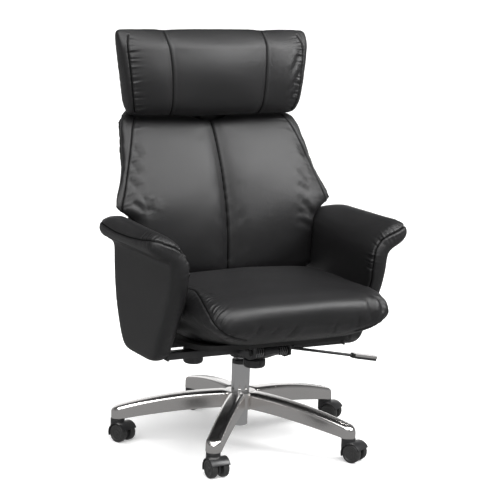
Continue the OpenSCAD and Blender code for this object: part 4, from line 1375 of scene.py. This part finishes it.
@dataclass
class StarBase:
    """Five arched legs of polished aluminium, cast in one with their hub.

    A leg is drawn as an outline at each station along its reach, between its crest and its
    underside there. Halves are half widths, and shares are parts of the half width. Each step of
    the hub is an inset of its upper face and the lift that goes with it.
    """

    reach: float = 0.350
    top: float = 0.141
    rise: float = 0.051
    root_depth: float = 0.046
    tip_under: float = 0.060
    tip_drop: float = 0.011
    tip_narrowest: float = 0.01
    stem_reach: float = 0.332
    stem_margin: float = 0.012
    root_half: float = 0.024
    tip_half: float = 0.021
    bevel: float = 0.0085
    bevel_most: float = 0.75
    bevel_bulge: float = 0.30
    edge_hold: float = 0.001
    edge_round: float = 0.0008
    foot_round: float = 0.0015
    foot_hold: float = 0.004
    crown_rise: float = 0.0004
    crown_share: float = 0.3
    under_share: float = 0.4
    fall_power: float = 2.06
    under_power: float = 1.5
    start: float = 0.030
    stations: tuple[float, ...] = (
        0.055, 0.080, 0.110, 0.140, 0.170, 0.200, 0.230, 0.260, 0.285, 0.305, 0.318, 0.326, 0.332,
        0.337, 0.341, 0.3445, 0.347, 0.3488, 0.3497,
    )
    hub_radius: float = 0.042
    hub_below: float = 0.003
    hub_under_crest: float = 0.0022
    hub_sides: int = 96
    hub_steps: tuple[tuple[float, float], ...] = ((0.0125, 0.0), (0.0008, 0.0022), (0.0022, 0.0006))
    hub_edge: float = 0.0008
    turn_deg: float = 87.0
    smooth_deg: float = 42.0
    legs: int = 5

    def leg_top(self, reach: float) -> float:
        """Height of a leg's crest at a distance from the column."""
        return self.top - self.rise * (reach / self.reach) ** self.fall_power

    def leg_under(self, reach: float) -> float:
        """Height of a leg's underside at a distance from the column.

        Args:
            reach: Distance from the column.

        Returns:
            The height, which stays level from the caster's stem on.
        """
        low = self.top - self.root_depth
        if reach >= self.stem_reach - self.stem_margin:
            return self.tip_under
        share = max(reach - self.hub_radius, 0.0) / (self.stem_reach - self.hub_radius)
        return low + (self.tip_under - low) * share**self.under_power

    def section(self, reach: float) -> list[tuple[float, float]]:
        """A leg's outline across its length.

        Args:
            reach: Distance from the column.

        Returns:
            Places across and up, from the left foot over the crest to the right foot.
        """
        ahead = max(reach - (self.reach - self.tip_half), 0.0) / self.tip_half
        left = 1.0 - ahead * ahead
        half = self.root_half + (self.tip_half - self.root_half) * reach / self.reach
        half *= math.sqrt(max(left, self.tip_narrowest))
        top = self.leg_top(reach) - self.tip_drop * (1.0 - math.sqrt(max(left, 0.0)))
        low = self.leg_under(reach)
        bevel = min(self.bevel, self.bevel_most * half)
        bulge = self.bevel_bulge * bevel
        side = [
            (half, low + self.foot_round),
            (half, low + self.foot_hold),
            (half, top - bevel - self.edge_hold),
            (half - self.edge_round, top - bevel),
            (half - bulge, top - bulge),
            (half - bevel, top - self.edge_round),
            (half - bevel - self.edge_hold, top),
            (half * self.crown_share, top + self.crown_rise),
        ]
        under = [(half - self.foot_round, low), (half * self.under_share, low)]
        over = side + [(-a, z) for a, z in reversed(side)]
        return over + [(-a, z) for a, z in under] + [(a, z) for a, z in reversed(under)]

    def leg(self, index: int) -> bpy.types.Object:
        """Models one leg by drawing its root outline and extruding it out to the tip.

        Args:
            index: The leg's number, from 0.

        Returns:
            The leg, turned to its place.
        """
        outline = self.section(self.start)
        bpy.ops.object.select_all(action="DESELECT")
        bpy.ops.mesh.primitive_circle_add(vertices=len(outline), radius=self.root_half, fill_type="NGON")
        leg = bpy.context.active_object
        leg.name = f"base_leg_{index + 1}"
        for vertex, (across, up) in zip(leg.data.vertices, outline):
            vertex.co = (self.start, across, up)
        bpy.ops.object.mode_set(mode="EDIT")
        bpy.ops.mesh.select_all(action="SELECT")
        last = self.start
        for reach in self.stations:
            bpy.ops.mesh.extrude_region_move(TRANSFORM_OT_translate={"value": (reach - last, 0.0, 0.0)})
            work = bmesh.from_edit_mesh(leg.data)
            picked = sorted((v for v in work.verts if v.select), key=lambda v: v.index)
            for vertex, (across, up) in zip(picked, self.section(reach)):
                vertex.co = (reach, across, up)
            bmesh.update_edit_mesh(leg.data)
            last = reach
        bpy.ops.mesh.select_all(action="SELECT")
        bpy.ops.mesh.normals_make_consistent(inside=False)
        bpy.ops.object.mode_set(mode="OBJECT")
        round_off = leg.modifiers.new("round", "SUBSURF")
        round_off.levels = round_off.render_levels = 2
        Bench.apply_modifiers(leg)
        leg.rotation_euler = (0.0, 0.0, math.radians(self.turn_deg + 360.0 / self.legs * index))
        Bench.settle(leg)
        return leg

    def hub(self) -> bpy.types.Object:
        """Models the hub as a bevelled drum with a collar at the column.

        Returns:
            The hub.
        """
        bpy.ops.object.select_all(action="DESELECT")
        low, high = self.top - self.root_depth - self.hub_below, self.top - self.hub_under_crest
        middle = (0.0, 0.0, (low + high) / 2)
        bpy.ops.mesh.primitive_cylinder_add(
            vertices=self.hub_sides, radius=self.hub_radius, depth=high - low, location=middle
        )
        hub = bpy.context.active_object
        hub.name = "base_hub"
        Bench.settle(hub)
        bpy.ops.object.mode_set(mode="EDIT")
        for inset, lift in self.hub_steps:
            bpy.ops.mesh.select_all(action="DESELECT")
            self.pick_crown(hub)
            bpy.ops.mesh.inset(thickness=inset)
            bpy.ops.transform.translate(value=(0.0, 0.0, lift))
        bpy.ops.mesh.select_all(action="DESELECT")
        bpy.ops.object.mode_set(mode="OBJECT")
        Bench.break_edges(hub, self.hub_edge, segments=3, angle_deg=30.0)
        return hub

    def pick_crown(self, hub: bpy.types.Object) -> None:
        """Selects the upper of the two faces that have as many corners as the hub has sides.

        Args:
            hub: The hub, in edit mode.
        """
        work = bmesh.from_edit_mesh(hub.data)
        level = [face for face in work.faces if len(face.verts) == self.hub_sides]
        crown = max(level, key=lambda face: face.calc_center_median().z)
        for face in work.faces:
            face.select_set(face == crown)
        bmesh.update_edit_mesh(hub.data)

    def build(self, palette: Palette) -> None:
        """Makes the base and puts it in the place of its CAD solid.

        Args:
            palette: The chair's finishes.
        """
        parts = [self.leg(i) for i in range(self.legs)] + [self.hub()]
        for part in parts:
            Bench.smooth_below(part, self.smooth_deg)
            Bench.dress(part, palette[Finish.ALUMINIUM])
            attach(part, "base")
        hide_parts("base_star")
        LOG.info("base: %d pieces", len(parts))


@dataclass
class Softened:
    """A rigid piece taken from its CAD solid, with its sharp edges broken."""

    node: str
    body: str
    finish: Finish
    slot: str
    width: float = 0.0008
    segments: int = 2
    flat_deg: float = 0.5
    edge_deg: float = 32.0
    smooth_deg: float = 35.0

    def build(self, palette: Palette) -> bpy.types.Object:
        """Copies the solid, cleans it and bevels its edges.

        Args:
            palette: The chair's finishes.

        Returns:
            The finished object.
        """
        obj = Bench.copy_of_node(self.node, self.node + "_shown")
        work = bmesh.new()
        work.from_mesh(obj.data)
        bmesh.ops.dissolve_limit(
            work, angle_limit=math.radians(self.flat_deg), use_dissolve_boundaries=False,
            verts=work.verts, edges=work.edges,
        )
        work.to_mesh(obj.data)
        work.free()
        Bench.break_edges(obj, self.width, self.segments, self.edge_deg)
        Bench.smooth_below(obj, self.smooth_deg)
        Bench.dress(obj, palette[self.finish])
        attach(obj, self.body)
        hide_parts(self.node)
        return obj


@dataclass
class Hardware:
    """The rigid pieces: column, mechanism, lever, bracket and casters."""

    plain: tuple[tuple[Finish, tuple[str, ...]], ...] = (
        (Finish.CHROME, ("column_sleeve", "gas_piston")),
        (Finish.PLASTIC, ("column_collar",)),
        (Finish.ZINC, ("column_rod", "tilt_spring", "back_bolts", "headrest_bar")),
        # The headrest strap takes the darker steel as painted shade for the gap under the headrest.
        (Finish.DARK_STEEL_AND_SHADE, ("tilt_pin", "frame_bolts", "recline_shaft", "headrest_strap")),
        (Finish.LINING, ("seat_board", "back_board")),
        (Finish.STEEL, ("lever_rod",)),
    )
    casters: int = 5
    insert_drop: float = 0.0045
    insert_skin: float = 0.0006
    insert_smooth_deg: float = 20.0
    end_slice: float = 0.004

    def frame_pieces(self) -> list[Softened]:
        """Lists the steel and plastic pieces above the column.

        Returns:
            One entry for each piece.
        """
        steel, plastic = (Finish.STEEL, "black_steel"), (Finish.PLASTIC, "black_plastic")
        pieces = [
            Softened("tilt_housing", "mechanism", *steel, 0.0015),
            Softened("tension_knob", "knob", *plastic),
        ]
        pieces += [Softened(f"seat_rail_{side.value}", "seat", *steel) for side in Side]
        for side in Side:
            for place in ("front", "rear"):
                pieces.append(Softened(f"arm_bar_{place}_{side.value}", "seat", *steel, 0.0010))
        return pieces + [
            Softened("recline_lock", "seat", *plastic, 0.0012),
            Softened("lever_socket", "lever_pivot", *plastic, 0.0006),
            Softened("lever_grip", "lever", *plastic, 0.0018),
            Softened("lever_insert", "lever", Finish.ALUMINIUM, "bright_chrome", 0.0005),
            Softened("back_bracket", "back", *steel, 0.0010),
            Softened("headrest_guide", "back", *steel, 0.0010),
        ]

    def caster_pieces(self, caster: str) -> list[Softened]:
        """Lists the moulded pieces of a caster.

        Args:
            caster: The caster's name.

        Returns:
            The hood and the two wheels.
        """
        hood = Softened(f"{caster}_hood", caster, Finish.PLASTIC, "caster_plastic", 0.0012, 3)
        return [hood] + [
            Softened(f"{caster}_wheel_{place}", f"{caster}_{place}", Finish.NYLON, "wheel_plastic")
            for place in ("inner", "outer")
        ]

    def build(self, palette: Palette) -> None:
        """Gives every rigid piece its finish.

        Args:
            palette: The chair's finishes.
        """
        names = [f"caster_{number}" for number in range(1, self.casters + 1)]
        pins = tuple(f"{caster}_{part}" for caster in names for part in ("stem", "axle"))
        for finish, nodes in (*self.plain, (Finish.ZINC, pins)):
            for node in nodes:
                Bench.dress(frame["nodes"][node], palette[finish])
        pieces = self.frame_pieces()
        for caster in names:
            pieces += self.caster_pieces(caster)
        shown = {piece.node: piece.build(palette) for piece in pieces}
        self.wrap(shown["lever_insert"], "lever_grip")
        LOG.info("hardware: %d shaped pieces", len(pieces))

    def wrap(self, insert: bpy.types.Object, grip: str) -> None:
        """Folds the lever's bright insert over the upper half of the grip's front side.

        Args:
            insert: The insert.
            grip: The CAD node of the grip.
        """
        places, hold = Bench.points(insert), Bench.points(frame["nodes"][grip])
        lower = places[:, 2] < np.interp(places[:, 0], *self.middle_line(places))
        places[lower, 2] -= self.insert_drop
        places[places[:, 1] < places[:, 1].mean(), 1] = hold[:, 1].min() - self.insert_skin
        Bench.place_points(insert, places)
        Bench.smooth_below(insert, self.insert_smooth_deg)

    def middle_line(self, places: np.ndarray) -> tuple[list[float], list[float]]:
        """Finds the sloping middle of a long piece.

        Args:
            places: Its points.

        Returns:
            The two ends' x and z.
        """
        ends = [places[:, 0].min(), places[:, 0].max()]
        near = [places[abs(places[:, 0] - end) < self.end_slice, 2] for end in ends]
        return ends, [(part.min() + part.max()) / 2.0 for part in near]


# Studio


@dataclass(frozen=True)
class Softbox:
    """A rectangular light that hangs at a place and faces a point."""

    name: str
    place: Point
    aim: Point
    size: tuple[float, float]
    watts: float

    def build(self) -> None:
        """Hangs the light."""
        data = bpy.data.lights.new(self.name, "AREA")
        data.shape = "RECTANGLE"
        data.size, data.size_y = self.size
        data.energy = self.watts
        obj = Bench.add_object(self.name, data)
        obj.visible_camera = False
        obj.location = self.place
        obj.rotation_euler = (Vector(self.aim) - Vector(self.place)).to_track_quat("-Z", "Y").to_euler()


@dataclass
class Studio:
    """Floor, light and camera, at the photograph's own angle.

    The sky's tones go from straight below, at 0, to straight above, at 1.
    """

    distance: float = 4.5
    height: float = 1.358
    azimuth_deg: float = -28.0
    yaw_deg: float = 0.18
    pitch_deg: float = 10.47
    roll_deg: float = 1.9
    lens_px: float = 1704.3
    frame_px: float = 500.0
    sensor: float = 36.0
    view_end: float = 200.0
    floor_size: float = 120.0
    floor_dark: float = 0.91
    floor_light: float = 0.93
    floor_glow: float = 0.30
    sky_below: float = 0.25
    sky_tones: tuple[tuple[float, float], ...] = ((0.44, 0.27), (0.52, 0.29), (0.60, 0.20), (0.74, 0.08))
    sky_above: float = 0.06
    sun_strength: float = 4.0
    sun_width_deg: float = 75.0
    sun_lean_deg: float = 24.0
    sun_roll_deg: float = -14.0
    boxes: tuple[Softbox, ...] = (
        Softbox("key_box", (2.00, -1.40, 2.65), (0.0, 0.1, 0.8), (1.4, 1.7), 104.0),
        Softbox("fill_box", (-1.75, -2.1, 2.2), (0.0, 0.1, 0.7), (0.9, 0.9), 9.0),
        Softbox("back_box", (1.9, 3.6, 0.9), (0.0, 0.0, 0.55), (4.6, 1.4), 16.0),
    )

    def camera(self) -> None:
        """Makes the camera and gives it to the scene."""
        data = bpy.data.cameras.new("camera")
        data.sensor_width = self.sensor
        data.lens = self.lens_px / self.frame_px * self.sensor
        data.clip_end = self.view_end
        obj = Bench.add_object("camera", data)
        turn = math.radians(self.azimuth_deg)
        place = Vector((self.distance * math.sin(turn), -self.distance * math.cos(turn), self.height))
        obj.matrix_world = (
            Matrix.Translation(place)
            @ Matrix.Rotation(turn - math.radians(self.yaw_deg), 4, "Z")
            @ Matrix.Rotation(math.radians(90.0 - self.pitch_deg), 4, "X")
            @ Matrix.Rotation(math.radians(self.roll_deg), 4, "Z")
        )
        bpy.context.scene.camera = obj

    def floor(self) -> None:
        """Lays a plain pale floor that reaches past the view and isn't mirrored in the chair."""
        bpy.ops.object.select_all(action="DESELECT")
        bpy.ops.mesh.primitive_plane_add(size=self.floor_size)
        floor = bpy.context.active_object
        floor.name = "floor"
        graph = ShaderGraph("pale_floor")
        cloudy = graph.noise(2.0, detail=2.0)
        pale = graph.finish(
            Base_Color=graph.blend(cloudy, grey(self.floor_dark), grey(self.floor_light)),
            Roughness=0.6,
            Specular_IOR_Level=0.2,
            Emission_Color=WHITE,
            Emission_Strength=self.floor_glow,
        )
        Bench.dress(floor, pale)
        floor.visible_glossy = False

    def sky(self) -> None:
        """Sets a sky that is dark above, and plain white where the camera sees it."""
        world = bpy.data.worlds.new("studio")
        world.use_nodes = True
        bpy.context.scene.world = world
        nodes = NodeTree(world.node_tree)
        way = nodes.node("ShaderNodeTexCoord").outputs["Generated"]
        up = nodes.node("ShaderNodeSeparateXYZ", {0: way}).outputs["Z"]
        share = nodes.node("ShaderNodeMapRange", {"Value": up, "From Min": -1.0}).outputs["Result"]
        tones = nodes.node("ShaderNodeValToRGB", {"Fac": share})
        tones.color_ramp.interpolation = "EASE"
        stops = tones.color_ramp.elements
        stops[0].color = (*grey(self.sky_below), 1.0)
        stops[1].color = (*grey(self.sky_above), 1.0)
        for place, tone in self.sky_tones:
            stops.new(place).color = (*grey(tone), 1.0)
        seen = nodes.node("ShaderNodeLightPath").outputs["Is Camera Ray"]
        mixed = {"Fac": seen, "Color1": tones.outputs["Color"], "Color2": WHITE}
        colour = nodes.node("ShaderNodeMixRGB", mixed).outputs["Color"]
        nodes.feed(world.node_tree.nodes["Background"], {"Color": colour, "Strength": 1.0})

    def sun(self) -> None:
        """Adds a very soft light from overhead."""
        data = bpy.data.lights.new("overhead", "SUN")
        data.energy = self.sun_strength
        data.angle = math.radians(self.sun_width_deg)
        sun = Bench.add_object("overhead", data)
        sun.rotation_euler = (math.radians(self.sun_lean_deg), math.radians(self.sun_roll_deg), 0.0)

    def build(self) -> None:
        """Makes the whole studio."""
        self.camera()
        self.floor()
        self.sky()
        self.sun()
        for box in self.boxes:
            box.build()
        bpy.context.scene.view_settings.view_transform = "Standard"
        LOG.info("studio: camera, floor and lights")


def main() -> None:
    """Builds the chair's looks piece by piece."""
    logging.basicConfig(level=logging.INFO, format="%(name)s: %(message)s")
    palette = Palette()
    Studio().build()
    Hardware().build(palette)
    StarBase().build(palette)
    SeatPad().build(palette)
    Armrest(Side.LEFT, seed=51).build(palette)
    Armrest(Side.RIGHT, seed=61).build(palette)
    BackRest().build(palette)
    Headrest().build(palette)


if __name__ == "__main__":
    main()
